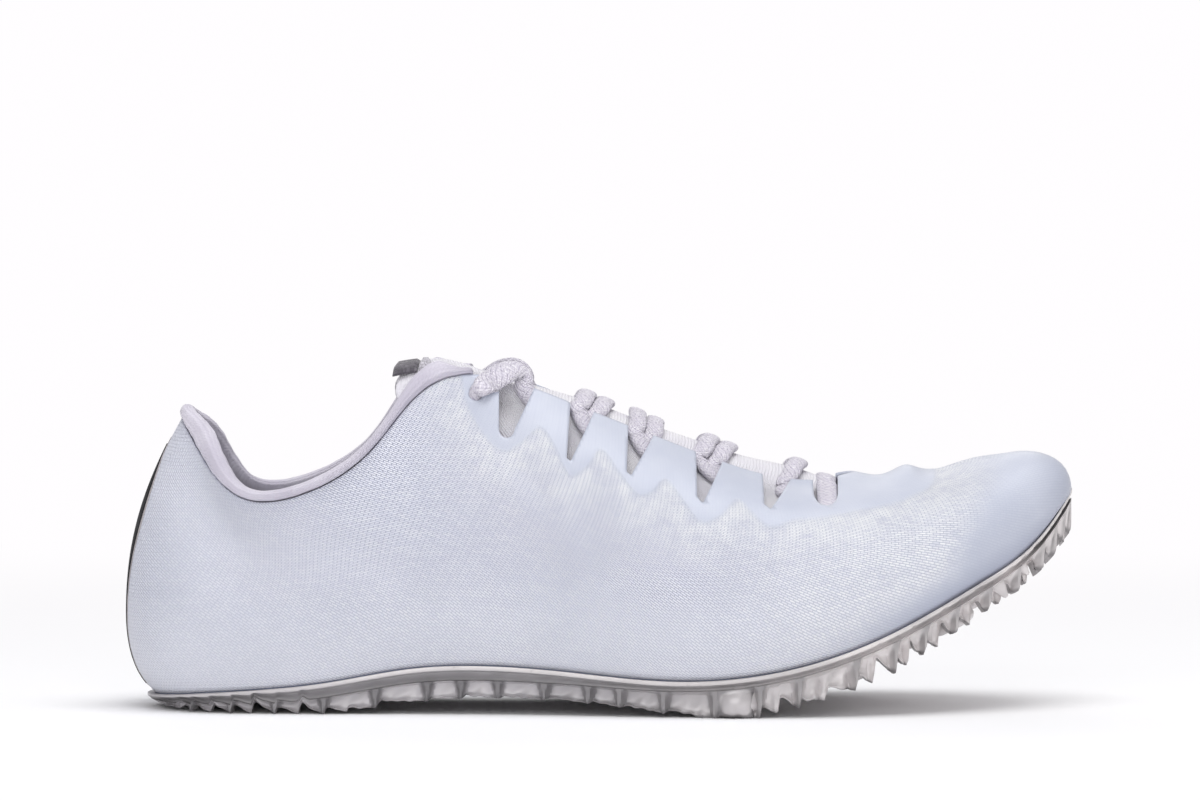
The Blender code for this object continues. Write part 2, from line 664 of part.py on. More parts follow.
def tongue_grid():
    """The tongue's outer face as lines across it, from its rear end to under the toe box."""
    share = np.linspace(TONGUE_START, TONGUE_STOP, TONGUE_ROWS)
    crest, tall = column(CREST, "height"), column(ROLL, "tall", 1)
    rolled = np.clip((BINDING_END + 0.035 - share) / 0.03, 0, 1)
    drop = UPPER_WALL + 3 * GAP + rolled * ((BINDING_WIDTH - UPPER_WALL) / 2 + GAP)
    drop = drop + TONGUE_DIVE * np.clip((share - 0.85) / (TONGUE_STOP - 0.85), 0, 1)
    past = 0.0006 + rolled * (BALL_WIDTH * tall(np.minimum(share, BINDING_END)) + 0.0008)
    flank = {}
    for side in (-1, 1):
        face = meridians(share, side, 60)
        along, rise = np.gradient(face, axis=0), np.gradient(face, axis=1)
        inward = unit(np.cross(along, rise)) * side
        inward = np.where(inward[..., 1:2] * side > 0, -inward, inward)
        length = np.linalg.norm(np.diff(face, axis=1), axis=2).sum(1)
        tuck = np.clip(59 - np.round(TONGUE_TUCK / length * 59), 0, 59).astype(int)
        row = np.arange(TONGUE_ROWS)
        inside = face + inward * drop[:, None, None]
        end = inside[:, -1] + unit(face[:, -1] - face[:, -3]) * past[:, None]
        flank[side] = (inside[row, tuck], inside[row, (2 * tuck + 59) // 3], inside[row, (tuck + 118) // 3], end)
    lines = []
    for i in range(TONGUE_ROWS):
        outer, inner = [part[i] for part in flank[-1]], [part[i] for part in flank[1]]
        x = (outer[3][0] + inner[3][0]) / 2
        back = TONGUE_OVERHANG * max(0, 1 - i / 4) ** 2
        height = INSTEP_HEIGHT * float(crest((x - back) / LENGTH))
        low = (outer[3][2] + inner[3][2]) / 2
        guide = outer
        for across in (-0.62, 0, 0.62):
            share_in = 1 - across**2
            y = abs(across) * (outer[3][1] if across < 0 else inner[3][1])
            guide = guide + [np.array([x - back * share_in, y, low + (height - low) * share_in**0.7])]
        guide = np.array(guide + inner[::-1])
        lines.append(evenly(evenly(guide, 60), TONGUE_ACROSS))
    for ahead in (0.004, 0.009):
        y = np.linspace(-TONGUE_TIP, TONGUE_TIP, TONGUE_ACROSS)
        x = np.full(TONGUE_ACROSS, LENGTH * SECTIONS[-1].edge_x - 0.002 + ahead)
        roof = np.polyval(np.polyfit(y, roof_height(x, y), 2), y)
        lines.append(np.stack([x, y, roof - UPPER_WALL - TONGUE_CLEAR], -1))
    return np.array(lines)


def grid_normals(grid):
    """Upward directions of a grid whose lines lie across it, heel to toe."""
    return unit(np.cross(np.gradient(grid, axis=0), np.gradient(grid, axis=1)))


def sheet(name, grid, thickness, collection):
    """A closed sheet with grid as its upper face."""
    under = grid - grid_normals(grid) * thickness
    return swept(name, np.concatenate([grid, under[:, ::-1]], axis=1), collection)


def over_tongue(grid, x, y, clear):
    """Points at plan positions, clear of the tongue's face by a distance, and its upward direction."""
    along = np.array([[np.interp(b, line[:, 1], line[:, 0]) for line in grid] for b in y])
    height = np.array([[np.interp(b, line[:, 1], line[:, 2]) for line in grid] for b in y])
    z = np.array([np.interp(a, xs, zs) for a, xs, zs in zip(x, along, height)])
    ahead = np.array([np.interp(a + 0.002, xs, zs) for a, xs, zs in zip(x, along, height)])
    up = unit(np.stack([(z - ahead) / 0.002, np.zeros(len(x)), np.ones(len(x))], -1))
    return np.stack([x, y, z], -1) + up * clear, up


def tab_patch(grid):
    """The tab's outer face: the tongue's own middle lines between the tab's two edges, set off square."""
    middle = TONGUE_ACROSS // 2
    raised = grid + grid_normals(grid) * (GAP + TAB_LIFT + TAB_THICKNESS)
    rows = []
    for x in np.linspace(TAB_BACK, TAB_FRONT, 5):
        lines = range(middle - TAB_LINES, middle + TAB_LINES + 1)
        rows.append([[np.interp(x, grid[:, k, 0], raised[:, k, i]) for i in range(3)] for k in lines])
    return np.array(rows)


def make_tongue(collection):
    grid = tongue_grid()
    tongue = sheet("tongue", grid, TONGUE_THICKNESS, collection)
    tongue.data.materials.append(material("tongue_knit", (0.86, 0.85, 0.90), 0.8))
    smooth(tongue)
    tab = sheet("tongue_tab", tab_patch(grid), TAB_THICKNESS, collection)
    tab.data.materials.append(material("woven_tab", (0.16, 0.15, 0.18), 0.85))
    smooth(tab)
    return grid


def lace_bar(name, grid, start, end, collection):
    """One crossing: a flat oval over the tongue from one side's lace hole to the other's."""
    t = np.linspace(0, 1, 7)
    x, y = start[0] + (end[0] - start[0]) * t, start[1] + (end[1] - start[1]) * t
    centre, up = over_tongue(grid, x, y, LACE_CLEARANCE + LACE_THICKNESS / 2)
    along = np.gradient(centre, axis=0)
    out = unit(np.cross(up, along))
    flat = np.full(len(t), LACE_THICKNESS)
    return swept(name, oval(centre, unit(np.cross(along, out)), out, flat, flat * LACE_WIDTH / LACE_THICKNESS, 6), collection)


def make_laces(grid, collection, cutters):
    """The crossings over the tongue, joined as one solid: a straight bar in front, then five crosses."""
    reach = {-1: [], 1: []}
    for side in (-1, 1):
        share = np.linspace(0.40, 0.999, 120)
        edge = meridians(share, side, 20)[:, -1]
        for hole in LACE_HOLES:
            width = np.interp(LENGTH * hole, edge[:, 0], edge[:, 1])
            reach[side].append((LENGTH * hole, width - side * LACE_INSIDE))
    first = lace_bar("laces", grid, reach[-1][0], reach[1][0], collection)
    for i in range(len(LACE_HOLES) - 1):
        for side in (-1, 1):
            bar = lace_bar(f"lace_{i}_{side}", grid, reach[side][i], reach[-side][i + 1], cutters)
            boolean(first, helper(bar), "UNION")
    first.data.materials.append(material("braided_lace", (0.78, 0.77, 0.86), 0.7))
    return smooth(first)


def clear_scene():
    for obj in list(bpy.data.objects):
        bpy.data.objects.remove(obj, do_unlink=True)


def main():
    clear_scene()
    shoe = bpy.data.collections.new("track_spike_shoe")
    cutters = bpy.data.collections.new("cutters")
    bpy.context.scene.collection.children.link(shoe)
    bpy.context.scene.collection.children.link(cutters)
    make_plate(shoe, cutters)
    make_upper(shoe, cutters)
    make_insole(shoe)
    make_binding(shoe)
    grid = make_tongue(shoe)
    make_laces(grid, shoe, cutters)


main()
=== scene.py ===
# %% [markdown]
# # Track spike shoe
# One right sprint shoe stands empty on its spike plate. +X points to the toe, +Z up, and -Y is the
# outer side, which the camera sees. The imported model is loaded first, because every piece made here
# has to lie where its solid does.

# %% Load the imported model
import math
from collections import namedtuple

import bmesh
import bpy
import numpy as np
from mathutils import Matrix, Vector


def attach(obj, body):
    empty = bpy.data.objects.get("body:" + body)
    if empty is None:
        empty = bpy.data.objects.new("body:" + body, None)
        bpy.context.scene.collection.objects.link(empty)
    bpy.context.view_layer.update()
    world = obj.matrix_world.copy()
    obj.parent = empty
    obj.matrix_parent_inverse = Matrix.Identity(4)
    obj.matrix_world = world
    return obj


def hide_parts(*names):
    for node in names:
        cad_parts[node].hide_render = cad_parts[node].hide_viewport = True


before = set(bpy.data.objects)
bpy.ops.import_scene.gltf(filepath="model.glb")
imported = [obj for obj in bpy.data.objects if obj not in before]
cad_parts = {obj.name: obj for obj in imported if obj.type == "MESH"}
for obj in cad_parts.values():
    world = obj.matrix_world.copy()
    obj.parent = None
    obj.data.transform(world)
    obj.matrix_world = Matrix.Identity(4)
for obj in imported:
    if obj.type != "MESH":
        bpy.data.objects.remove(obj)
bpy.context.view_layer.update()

# %% [markdown]
# ## The last in numbers
# A shoe is made round a last. The same driving sizes and short tables that shape the solids are
# repeated here, so that the fine surfaces below lie on them. Each table holds shares of one size.

# %% Driving sizes, in metres
MM = 0.001
LENGTH = 0.2765
BALL_WIDTH = 0.0875
TOE_SPRING = 0.0635
INSTEP_HEIGHT = 0.0973
HEEL_HEIGHT = 0.0858
UPPER_WALL = 0.0014
GAP = 0.0003
PLATE_HEEL_X = -0.4792 * LENGTH
PLATE_TOE_X = 0.4987 * LENGTH
PLATE_LENGTH = PLATE_TOE_X - PLATE_HEEL_X
FEATHER_INSET = 0.0015
HEEL_FLANGE = 0.0008
HEEL_ROUND = 0.115
TOE_ROUND = 0.280
TOE_BLUNT = 2.25
LUG_DEPTH = 0.0120
LOW_CORNER = 0.30
RISE_SHARE = 0.35
REACH_SHARE = 0.40

# %% Tables of the last and the plate
Plan = namedtuple("Plan", "at centre half")
PLAN = [Plan(*row) for row in (
    (0.00, 0.000, 0.326), (0.10, -0.006, 0.325), (0.19, -0.007, 0.350), (0.31, -0.032, 0.330),
    (0.42, -0.051, 0.347), (0.50, -0.050, 0.397), (0.57, -0.034, 0.457), (0.65, -0.014, 0.497),
    (0.72, 0.007, 0.500), (0.80, 0.025, 0.474), (0.90, 0.046, 0.426), (1.00, 0.069, 0.354),
)]
Rocker = namedtuple("Rocker", "at rise depth tooth")
ROCKER = [Rocker(*row) for row in (
    (0.00, 0.061, 0.22, 0.06), (0.08, 0.093, 0.53, 0.22), (0.19, 0.138, 0.76, 0.26),
    (0.29, 0.208, 0.82, 0.10), (0.35, 0.221, 0.79, 0.07), (0.46, 0.196, 0.71, 0.07),
    (0.56, 0.164, 0.79, 0.10), (0.64, 0.181, 1.01, 0.22), (0.71, 0.238, 0.96, 0.30),
    (0.80, 0.377, 1.00, 0.34), (0.90, 0.604, 0.84, 0.34), (0.965, 0.806, 0.85, 0.34),
    (1.00, 1.000, 1.00, 0.34),
)]
Section = namedtuple("Section", "at bulge swell edge_x edge_y edge_z slope back lift")
SECTIONS = [Section(*row) for row in (
    (0.00, 0.092, 0.262, -0.4387, 0.000, 0.882, 60, 0.000, 0.000),
    (0.06, 0.083, 0.262, -0.4322, 0.091, 0.832, 62, 0.000, 0.002),
    (0.13, 0.058, 0.252, -0.4116, 0.211, 0.725, 70, 0.000, 0.004),
    (0.20, 0.043, 0.229, -0.3707, 0.300, 0.633, 82, 0.000, 0.002),
    (0.27, 0.039, 0.206, -0.3092, 0.322, 0.651, 82, 0.000, 0.000),
    (0.34, 0.037, 0.190, -0.2423, 0.278, 0.769, 70, -0.001, -0.002),
    (0.40, 0.037, 0.177, -0.1953, 0.209, 0.928, 58, -0.002, 0.000),
    (0.47, 0.038, 0.165, -0.1374, 0.171, 1.000, 48, -0.001, 0.000),
    (0.58, 0.041, 0.149, -0.0325, 0.167, 0.917, 40, 0.000, 0.000),
    (0.70, 0.039, 0.131, 0.0796, 0.162, 0.791, 33, 0.000, 0.000),
    (0.82, 0.030, 0.110, 0.1772, 0.146, 0.697, 22, 0.000, 0.000),
    (0.93, 0.021, 0.072, 0.2459, 0.098, 0.689, 5, 0.000, 0.000),
    (1.00, 0.016, 0.004, 0.2676, 0.000, 0.702, -3, 0.000, 0.000),
)]
Notch = namedtuple("Notch", "top_back top_front foot foot_z foot_round")
NOTCHES = [Notch(*row) for row in (
    (-0.1065, -0.0700, -0.0985, 0.817, 0.0045), (-0.0275, -0.0075, -0.0330, 0.750, 0.0015),
    (0.0325, 0.0550, 0.0300, 0.710, 0.0018), (0.0990, 0.1270, 0.1035, 0.625, 0.0020),
    (0.1690, 0.1990, 0.1730, 0.600, 0.0018), (0.2216, 0.2486, 0.2350, 0.617, 0.0070),
)]
Roll = namedtuple("Roll", "at tall")
ROLL = [Roll(*row) for row in (
    (0.00, 0.048), (0.08, 0.074), (0.20, 0.040), (0.30, 0.034), (0.38, 0.040), (0.46, 0.064),
    (0.50, 0.036),
)]
Crest = namedtuple("Crest", "at height")
CREST = [Crest(*row) for row in (
    (-0.214, 1.021), (-0.190, 1.024), (-0.160, 1.012), (-0.110, 0.994), (-0.064, 0.961), (0.000, 0.906),
    (0.062, 0.838), (0.094, 0.808), (0.147, 0.757), (0.189, 0.731), (0.211, 0.714), (0.235, 0.690),
    (0.262, 0.670),
)]
print(len(SECTIONS), "sections and", len(NOTCHES), "lace notches")

# %% [markdown]
# A table becomes a smooth curve with a natural cubic spline. The foot line of the upper, called the
# feather line, runs round the plate, and each section is a curve that bellies out from it to the
# widest line and turns in to the edge of the collar or throat.

# %% Curves of the last


def spline(at, values, mirrored=0):
    """Natural cubic spline. mirrored 1 or -1 repeats it past both ends as an even or odd curve."""
    at, values = np.asarray(at, float), np.asarray(values, float)
    if mirrored:
        at = np.concatenate([2 * at[0] - at[:0:-1], at, 2 * at[-1] - at[-2::-1]])
        values = np.concatenate([mirrored * values[:0:-1], values, mirrored * values[-2::-1]])
    gap, count = np.diff(at), len(at)
    system, right = np.eye(count), np.zeros(count)
    for i in range(1, count - 1):
        system[i, i - 1 : i + 2] = gap[i - 1], 2 * (gap[i - 1] + gap[i]), gap[i]
        slopes = np.diff(values[i - 1 : i + 2]) / gap[i - 1 : i + 1]
        right[i] = 6 * (slopes[1] - slopes[0])
    bend = np.linalg.solve(system, right)

    def value(where):
        where = np.clip(where, at[0], at[-1])
        i = np.clip(np.searchsorted(at, where) - 1, 0, count - 2)
        a, b, h = at[i + 1] - where, where - at[i], gap[i]
        curved = (bend[i] * a**3 + bend[i + 1] * b**3) / (6 * h)
        return curved + (values[i] / h - bend[i] * h / 6) * a + (values[i + 1] / h - bend[i + 1] * h / 6) * b

    return value


def column(table, field, mirrored=0):
    """One column of a table as a spline over its at column."""
    return spline([row.at for row in table], [getattr(row, field) for row in table], mirrored)


def unit(vectors):
    """Each vector divided by its own length."""
    return vectors / np.maximum(np.linalg.norm(vectors, axis=-1, keepdims=True), 1e-12)


def ease(value, low, high):
    """0 below low, 1 above high, and the smooth cubic 3t^2 - 2t^3 between."""
    t = np.clip((value - low) / (high - low), 0, 1)
    return t * t * (3 - 2 * t)


plan_centre, plan_half = column(PLAN, "centre"), column(PLAN, "half")
rocker_rise, rocker_depth = column(ROCKER, "rise"), column(ROCKER, "depth")
rocker_tooth = column(ROCKER, "tooth")
section = {name: column(SECTIONS, name, 1) for name in Section._fields[1:]}
section["edge_y"] = column(SECTIONS, "edge_y", -1)


def end_round(at):
    """1 along the middle, falling to 0 as a quarter ellipse at the heel and a blunter one at the toe."""
    heel = np.clip((HEEL_ROUND - at) / HEEL_ROUND, 0, 1)
    toe = np.clip((at - 1 + TOE_ROUND) / TOE_ROUND, 0, 1)
    return np.sqrt(1 - heel**2) * (1 - toe**TOE_BLUNT) ** (1 / TOE_BLUNT)


def rim_height(x):
    """Height of the plate's top edge: the toe spring times the rocker's rise at that x."""
    return TOE_SPRING * rocker_rise((x - PLATE_HEEL_X) / PLATE_LENGTH)


def rim_plan(at, side):
    """The rim's x and y at a share of the plate's length, side -1 outer or +1 inner."""
    half = BALL_WIDTH * plan_half(at) * end_round(at)
    return np.stack([PLATE_HEEL_X + PLATE_LENGTH * at, BALL_WIDTH * plan_centre(at) + side * half], -1)


run_at = (1 - np.cos(np.linspace(0, math.pi, 2001))) / 2
steps = [np.linalg.norm(np.diff(rim_plan(run_at, side), axis=0), axis=1) for side in (-1, 1)]
run = np.concatenate([[0], np.cumsum(steps[0] + steps[1])])
HALF_PERIMETER, run = run[-1] / 2, run / run[-1]
print("half the rim is", round(HALF_PERIMETER / MM, 1), "mm")


def rim(share, side):
    """Plan point at a share of the half perimeter, and the outward direction square to the rim."""
    share, step = np.asarray(share, float), 0.002
    point = rim_plan(np.interp(share, run, run_at), side)
    ahead = rim_plan(np.interp(np.minimum(share + step, 1), run, run_at), side)
    behind = rim_plan(np.interp(np.maximum(share - step, 0), run, run_at), side)
    over, under = (share + step > 1)[..., None], (share - step < 0)[..., None]
    ahead = np.where(over, rim_plan(np.interp(2 - share - step, run, run_at), -side), ahead)
    behind = np.where(under, rim_plan(np.interp(step - share, run, run_at), -side), behind)
    along = unit(ahead - behind)
    return point, np.stack([-side * along[..., 1], side * along[..., 0]], -1)


def feather(share, side):
    """The line where upper and plate meet, set in from the rim and more so round the heel."""
    point, outward = rim(share, side)
    inset = FEATHER_INSET + HEEL_FLANGE * np.clip(1 - share / HEEL_ROUND, 0, 1) ** 2
    plan = point - outward * inset[..., None]
    return np.concatenate([plan, (rim_height(plan[..., 0]) + GAP)[..., None]], -1), outward


def run_along(line):
    """The distance run from a line's first point to each of its points."""
    return np.concatenate([[0], np.cumsum(np.linalg.norm(np.diff(line, axis=0), axis=1))])


def spaced(line, shares):
    """Points of a line at the given shares of its length."""
    run = run_along(line)
    return np.stack([np.interp(shares * run[-1], run, line[:, k]) for k in range(3)], -1)


# %% Sections of the upper
HEEL_DIP = 0.024
HEEL_END = 0.2
UP = np.array([0.0, 0.0, 1.0])


def meridians(share, side, rows):
    """The upper's outer face, for each share a line from the feather line to the edge.

    A quadratic curve runs from the foot to the widest line and a cubic one on to the edge. rows is
    a number of even steps or the shares of the line's length. The line stops a little short of the
    edge round the heel.
    """
    share = np.asarray(share, float)
    rows = np.linspace(0, 1, rows) if np.isscalar(rows) else rows
    inner = (1 + side) / 2
    foot, outward = feather(share, side)
    wide = foot.copy()
    wide[:, :2] += outward * (BALL_WIDTH * section["bulge"](share))[:, None]
    wide[:, 2] += BALL_WIDTH * section["swell"](share)
    edge = np.stack([
        LENGTH * (section["edge_x"](share) + inner * section["back"](share)),
        side * BALL_WIDTH * section["edge_y"](share),
        INSTEP_HEIGHT * (section["edge_z"](share) + inner * section["lift"](share)),
    ], -1)
    edge[:, 2] += (HEEL_HEIGHT - INSTEP_HEIGHT * SECTIONS[0].edge_z) * np.clip(1 - share / HEEL_END, 0, 1)
    span = np.linalg.norm(wide - edge, axis=1)[:, None]
    out = np.concatenate([unit(wide[:, :2] - edge[:, :2]), np.zeros((len(share), 1))], -1)
    slope = np.radians(section["slope"](share))[:, None]
    low = wide.copy()
    low[:, 2] = foot[:, 2] + LOW_CORNER * (wide[:, 2] - foot[:, 2])
    rise = wide + UP * span * RISE_SHARE
    reach = edge + span * REACH_SHARE * (out * np.cos(slope) - UP * np.sin(slope))
    t = np.linspace(0, 1, 60)[None, :, None]
    foot, low, wide, rise, reach, edge = (p[:, None] for p in (foot, low, wide, rise, reach, edge))
    below = (1 - t) ** 2 * foot + 2 * t * (1 - t) * low + t**2 * wide
    above = (1 - t) ** 3 * wide + 3 * t * (1 - t) ** 2 * rise + 3 * t**2 * (1 - t) * reach + t**3 * edge
    line = np.concatenate([below, above[:, 1:]], axis=1)
    keep = 1 - HEEL_DIP * (1 - ease(share, 0.02, 0.12))
    return np.stack([spaced(one, rows * part) for one, part in zip(line, keep)])


print("upper edge ends at x", round(float(meridians([1.0], -1, 2)[0, -1, 0]), 4))

# %% [markdown]
# ## Meshes from grids
# A surface is a grid of points, columns by rows, and each four neighbours make a face. Grids are
# whole numpy arrays, so there is no loop over the points. The UV map holds millimetres along and
# across the cloth, so that a stitch has the same size on every piece.

# %% Faces of a grid


def full_turn(sides):
    """Angles round a full turn in even steps."""
    return np.linspace(0, 2 * math.pi, sides + 1)[:-1]


def uv_grid(along, across):
    """A UV map from the places along the columns and across the rows."""
    return np.stack(np.meshgrid(along, across, indexing="ij"), -1)


def corner_faces(columns, rows, ring=False, tube=False):
    """Corner numbers of a grid's quads, as column and row, not yet wrapped round a ring or tube."""
    i, k = np.meshgrid(
        np.arange(columns if ring else columns - 1), np.arange(rows if tube else rows - 1), indexing="ij"
    )
    i, k = i.ravel(), k.ravel()
    return np.stack([i, i + 1, i + 1, i], -1), np.stack([k, k, k + 1, k + 1], -1)


def tube_faces(rings, uv, first=0):
    """Faces of a tube of rings with a fan over each end, numbered from first on, and their UV corners.

    uv has one line more than a ring, where the tube wraps, or is None.
    """
    columns, rows = rings.shape[:2]
    i, k = corner_faces(columns, rows, tube=True)
    polygons, corner_uv = [first + i * rows + k % rows], [None if uv is None else uv[i, k]]
    for end, fan in ((0, np.arange(rows)), (columns - 1, np.arange(rows)[::-1])):
        polygons.append((first + end * rows + fan)[None])
        corner_uv.append(None if uv is None else uv[end, fan][None])
    return polygons, corner_uv


# %% Pieces from grids


def build(name, points, polygons, corner_uv=None, finishes=(), sharp=None):
    """An object from points and arrays of polygons, its faces turned to point out of its middle.

    The sum of the small volumes between the middle and each face tells which way they point.
    """
    points = points.reshape(-1, 3)
    middle = points.mean(0)
    volume = 0.0
    for faces in polygons:
        a = points[faces[:, 0]] - middle
        for k in range(1, faces.shape[1] - 1):
            b, c = points[faces[:, k]] - middle, points[faces[:, k + 1]] - middle
            volume += float(np.einsum("ij,ij->", a, np.cross(b, c)))
    if volume < 0:
        polygons = [faces[:, ::-1] for faces in polygons]
        corner_uv = None if corner_uv is None else [uv[:, ::-1] for uv in corner_uv]
    loops = np.concatenate([faces.ravel() for faces in polygons])
    sizes = np.concatenate([np.full(len(faces), faces.shape[1]) for faces in polygons])
    mesh = bpy.data.meshes.new(name)
    mesh.vertices.add(len(points))
    mesh.vertices.foreach_set("co", points.astype(np.float32).ravel())
    mesh.loops.add(len(loops))
    mesh.loops.foreach_set("vertex_index", loops.astype(np.int32))
    mesh.polygons.add(len(sizes))
    mesh.polygons.foreach_set("loop_start", np.concatenate([[0], np.cumsum(sizes)[:-1]]).astype(np.int32))
    if corner_uv is not None:
        layer = mesh.uv_layers.new(name="cloth")
        flat = np.concatenate([uv.reshape(-1, 2) for uv in corner_uv])
        layer.data.foreach_set("uv", flat.astype(np.float32).ravel())
    mesh.update(calc_edges=True)
    mesh.shade_smooth()
    if sharp:
        mesh.set_sharp_from_angle(angle=math.radians(sharp))
    obj = bpy.data.objects.new(name, mesh)
    bpy.context.scene.collection.objects.link(obj)
    for finish in finishes:
        mesh.materials.append(finish)
    return obj


def tube_piece(name, rings, finish, uv=None, sharp=None):
    """A closed tube through the rings, with creases kept sharp above an angle in degrees."""
    polygons, corner_uv = tube_faces(rings, uv)
    return build(name, rings, polygons, None if uv is None else corner_uv, [finish], sharp)


def merged(obj, reach=1e-5):
    """The same piece with coincident points joined and its faces turned outwards."""
    cage = bmesh.new()
    cage.from_mesh(obj.data)
    bmesh.ops.remove_doubles(cage, verts=cage.verts, dist=reach)
    bmesh.ops.dissolve_degenerate(cage, edges=cage.edges, dist=reach / 10)
    bmesh.ops.recalc_face_normals(cage, faces=cage.faces)
    cage.to_mesh(obj.data)
    cage.free()
    return obj


def lay_on(obj, node=None):
    """Lets a piece ride on the shoe and, given a solid's name, stand for that solid, whose mesh is hidden."""
    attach(obj, "root")
    if node:
        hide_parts(node)
    print(obj.name, len(obj.data.polygons), "faces")
    return obj


def mark(obj, name, values):
    """Stores one number for each point under that name, for a material to read."""
    layer = obj.data.attributes.new(name, "FLOAT", "POINT")
    layer.data.foreach_set("value", values.astype(np.float32).ravel())


# %% Directions, outlines and paths


def grid_normals(points):
    """Unit normals of a grid: along the columns crossed with along the rows."""
    return unit(np.cross(np.gradient(points, axis=0), np.gradient(points, axis=1)))


def edge_distance(x, z, outline):
    """Distance from points to a closed outline in side view, positive inside it.

    A point is inside when a level line from it crosses the outline an odd number of times.
    """
    start, end = outline, np.roll(outline, -1, axis=0)
    along = end - start
    place = np.stack([x, z], -1)[..., None, :] - start
    t = np.clip((place * along).sum(-1) / np.maximum((along**2).sum(-1), 1e-15), 0, 1)
    near = np.linalg.norm(place - t[..., None] * along, axis=-1).min(-1)
    crosses = (start[:, 1] > z[..., None]) != (end[:, 1] > z[..., None])
    rise = np.where(along[:, 1] == 0, 1e-12, along[:, 1])
    left = x[..., None] < start[:, 0] + (z[..., None] - start[:, 1]) / rise * along[:, 0]
    inside = (crosses & left).sum(-1) % 2 == 1
    return np.where(inside, near, -near)


def rounded_path(corners, steps=12):
    """A smooth line through the corners: cubic pieces whose slope at a corner joins its neighbours."""
    p = np.array(corners, float)
    before, after = np.vstack([2 * p[0] - p[1], p[:-1]]), np.vstack([p[1:], 2 * p[-1] - p[-2]])
    slope = (after - before) / 2
    t = np.linspace(0, 1, steps, endpoint=False)[None, :, None]
    a, b, m, n = p[:-1, None], p[1:, None], slope[:-1, None], slope[1:, None]
    curve = (
        (2 * t**3 - 3 * t**2 + 1) * a + (t**3 - 2 * t**2 + t) * m
        + (3 * t**2 - 2 * t**3) * b + (t**3 - t**2) * n
    )
    return np.vstack([curve.reshape(-1, p.shape[1]), p[-1:]])


def blunt(value, power):
    """The value's size raised to a power, with its sign kept: a circle's sine or cosine made squarer."""
    return np.sign(value) * np.abs(value) ** power


print("grid helpers ready")

# %% [markdown]
# ## Camera, light and floor
# The photo is a level side view from far away. A long lens two metres off gives its flat
# perspective. A soft light hangs overhead, a larger one stands in front and one behind, and the
# floor is pale paper that fades to white away from the shoe.

# %% Camera
scene = bpy.context.scene
scene.view_settings.view_transform = "Standard"
CAMERA_TARGET = Vector((-0.0003, 0.0, 0.0893))
CAMERA_DISTANCE = 2.0
CAMERA_RISE = math.radians(2.5)
camera = bpy.data.objects.new("camera", bpy.data.cameras.new("camera"))
LENS_MM, SENSOR_MM = 205.65, 36.0
camera.data.lens, camera.data.sensor_width = LENS_MM, SENSOR_MM
camera.data.clip_start, camera.data.clip_end = 0.1, 50.0
towards = Vector((0, -math.cos(CAMERA_RISE), math.sin(CAMERA_RISE)))
camera.location = CAMERA_TARGET + towards * CAMERA_DISTANCE
camera.rotation_euler = towards.to_track_quat("Z", "Y").to_euler()
scene.collection.objects.link(camera)
scene.camera = camera
print("camera", np.round(camera.location, 3))

# %% Lights


def soft_light(name, place, aim, size, watts):
    """A rectangular area light at a place, aimed at a point."""
    lamp = bpy.data.lights.new(name, "AREA")
    lamp.shape, lamp.size, lamp.size_y = "RECTANGLE", *size
    lamp.energy = watts
    obj = bpy.data.objects.new(name, lamp)
    obj.location = place
    obj.rotation_euler = (Vector(place) - Vector(aim)).to_track_quat("Z", "Y").to_euler()
    scene.collection.objects.link(obj)


soft_light("overhead_softbox", (0.15, -0.25, 1.5), (0, 0, 0.03), (1.1, 0.8), 13.2)
soft_light("front_softbox", (-0.3, -2.0, 0.7), (0, 0, 0.05), (1.8, 1.2), 11.6)
soft_light("back_softbox", (-0.4, 1.8, 1.2), (0, 0, 0.05), (1.8, 1.0), 7.5)
print("three soft lights")

# %% Short ways to add shader nodes


def linear(red, green, blue):
    """A screen colour from 0 to 255 as light, by the sRGB curve."""
    c = np.array([red, green, blue]) / 255
    return (*np.where(c <= 0.04045, c / 12.92, ((c + 0.055) / 1.055) ** 2.4).tolist(), 1.0)


def fill(tree, target, sockets):
    """Gives each socket of a node, by name or number, a value or a link from another socket."""
    for key, value in sockets.items():
        if isinstance(value, bpy.types.NodeSocket):
            tree.links.new(value, target.inputs[key])
        else:
            target.inputs[key].default_value = value


def node(tree, kind, sockets=None, **choices):
    """A node of that kind, with its sockets filled and its own choices made."""
    made = tree.nodes.new("ShaderNode" + kind)
    for key, value in choices.items():
        setattr(made, key, value)
    fill(tree, made, sockets or {})
    return made


def maths(tree, operation, first, second, clamp=False):
    """One sum on two values."""
    return node(tree, "Math", {0: first, 1: second}, operation=operation, use_clamp=clamp).outputs[0]


def times(tree, first, second):
    """The product of two values."""
    return maths(tree, "MULTIPLY", first, second)


def less(tree, first, second):
    """The first value less the second."""
    return maths(tree, "SUBTRACT", first, second)


def blended(tree, share, first, second):
    """Two colours mixed by a share from 0 to 1."""
    return node(tree, "Mix", {0: share, 6: first, 7: second}, data_type="RGBA").outputs[2]


def graded(tree, value, low, high, to_low=0.0, to_high=1.0):
    """A value eased from one range to another."""
    sockets = {"Value": value, 1: low, 2: high, 3: to_low, 4: to_high}
    return node(tree, "MapRange", sockets, interpolation_type="SMOOTHSTEP").outputs[0]


def object_place(tree):
    """The point's place on the object, in metres."""
    return node(tree, "TexCoord").outputs["Object"]


def length_place(tree):
    """The point's place along the shoe, in metres."""
    return node(tree, "SeparateXYZ", {0: object_place(tree)}).outputs[0]


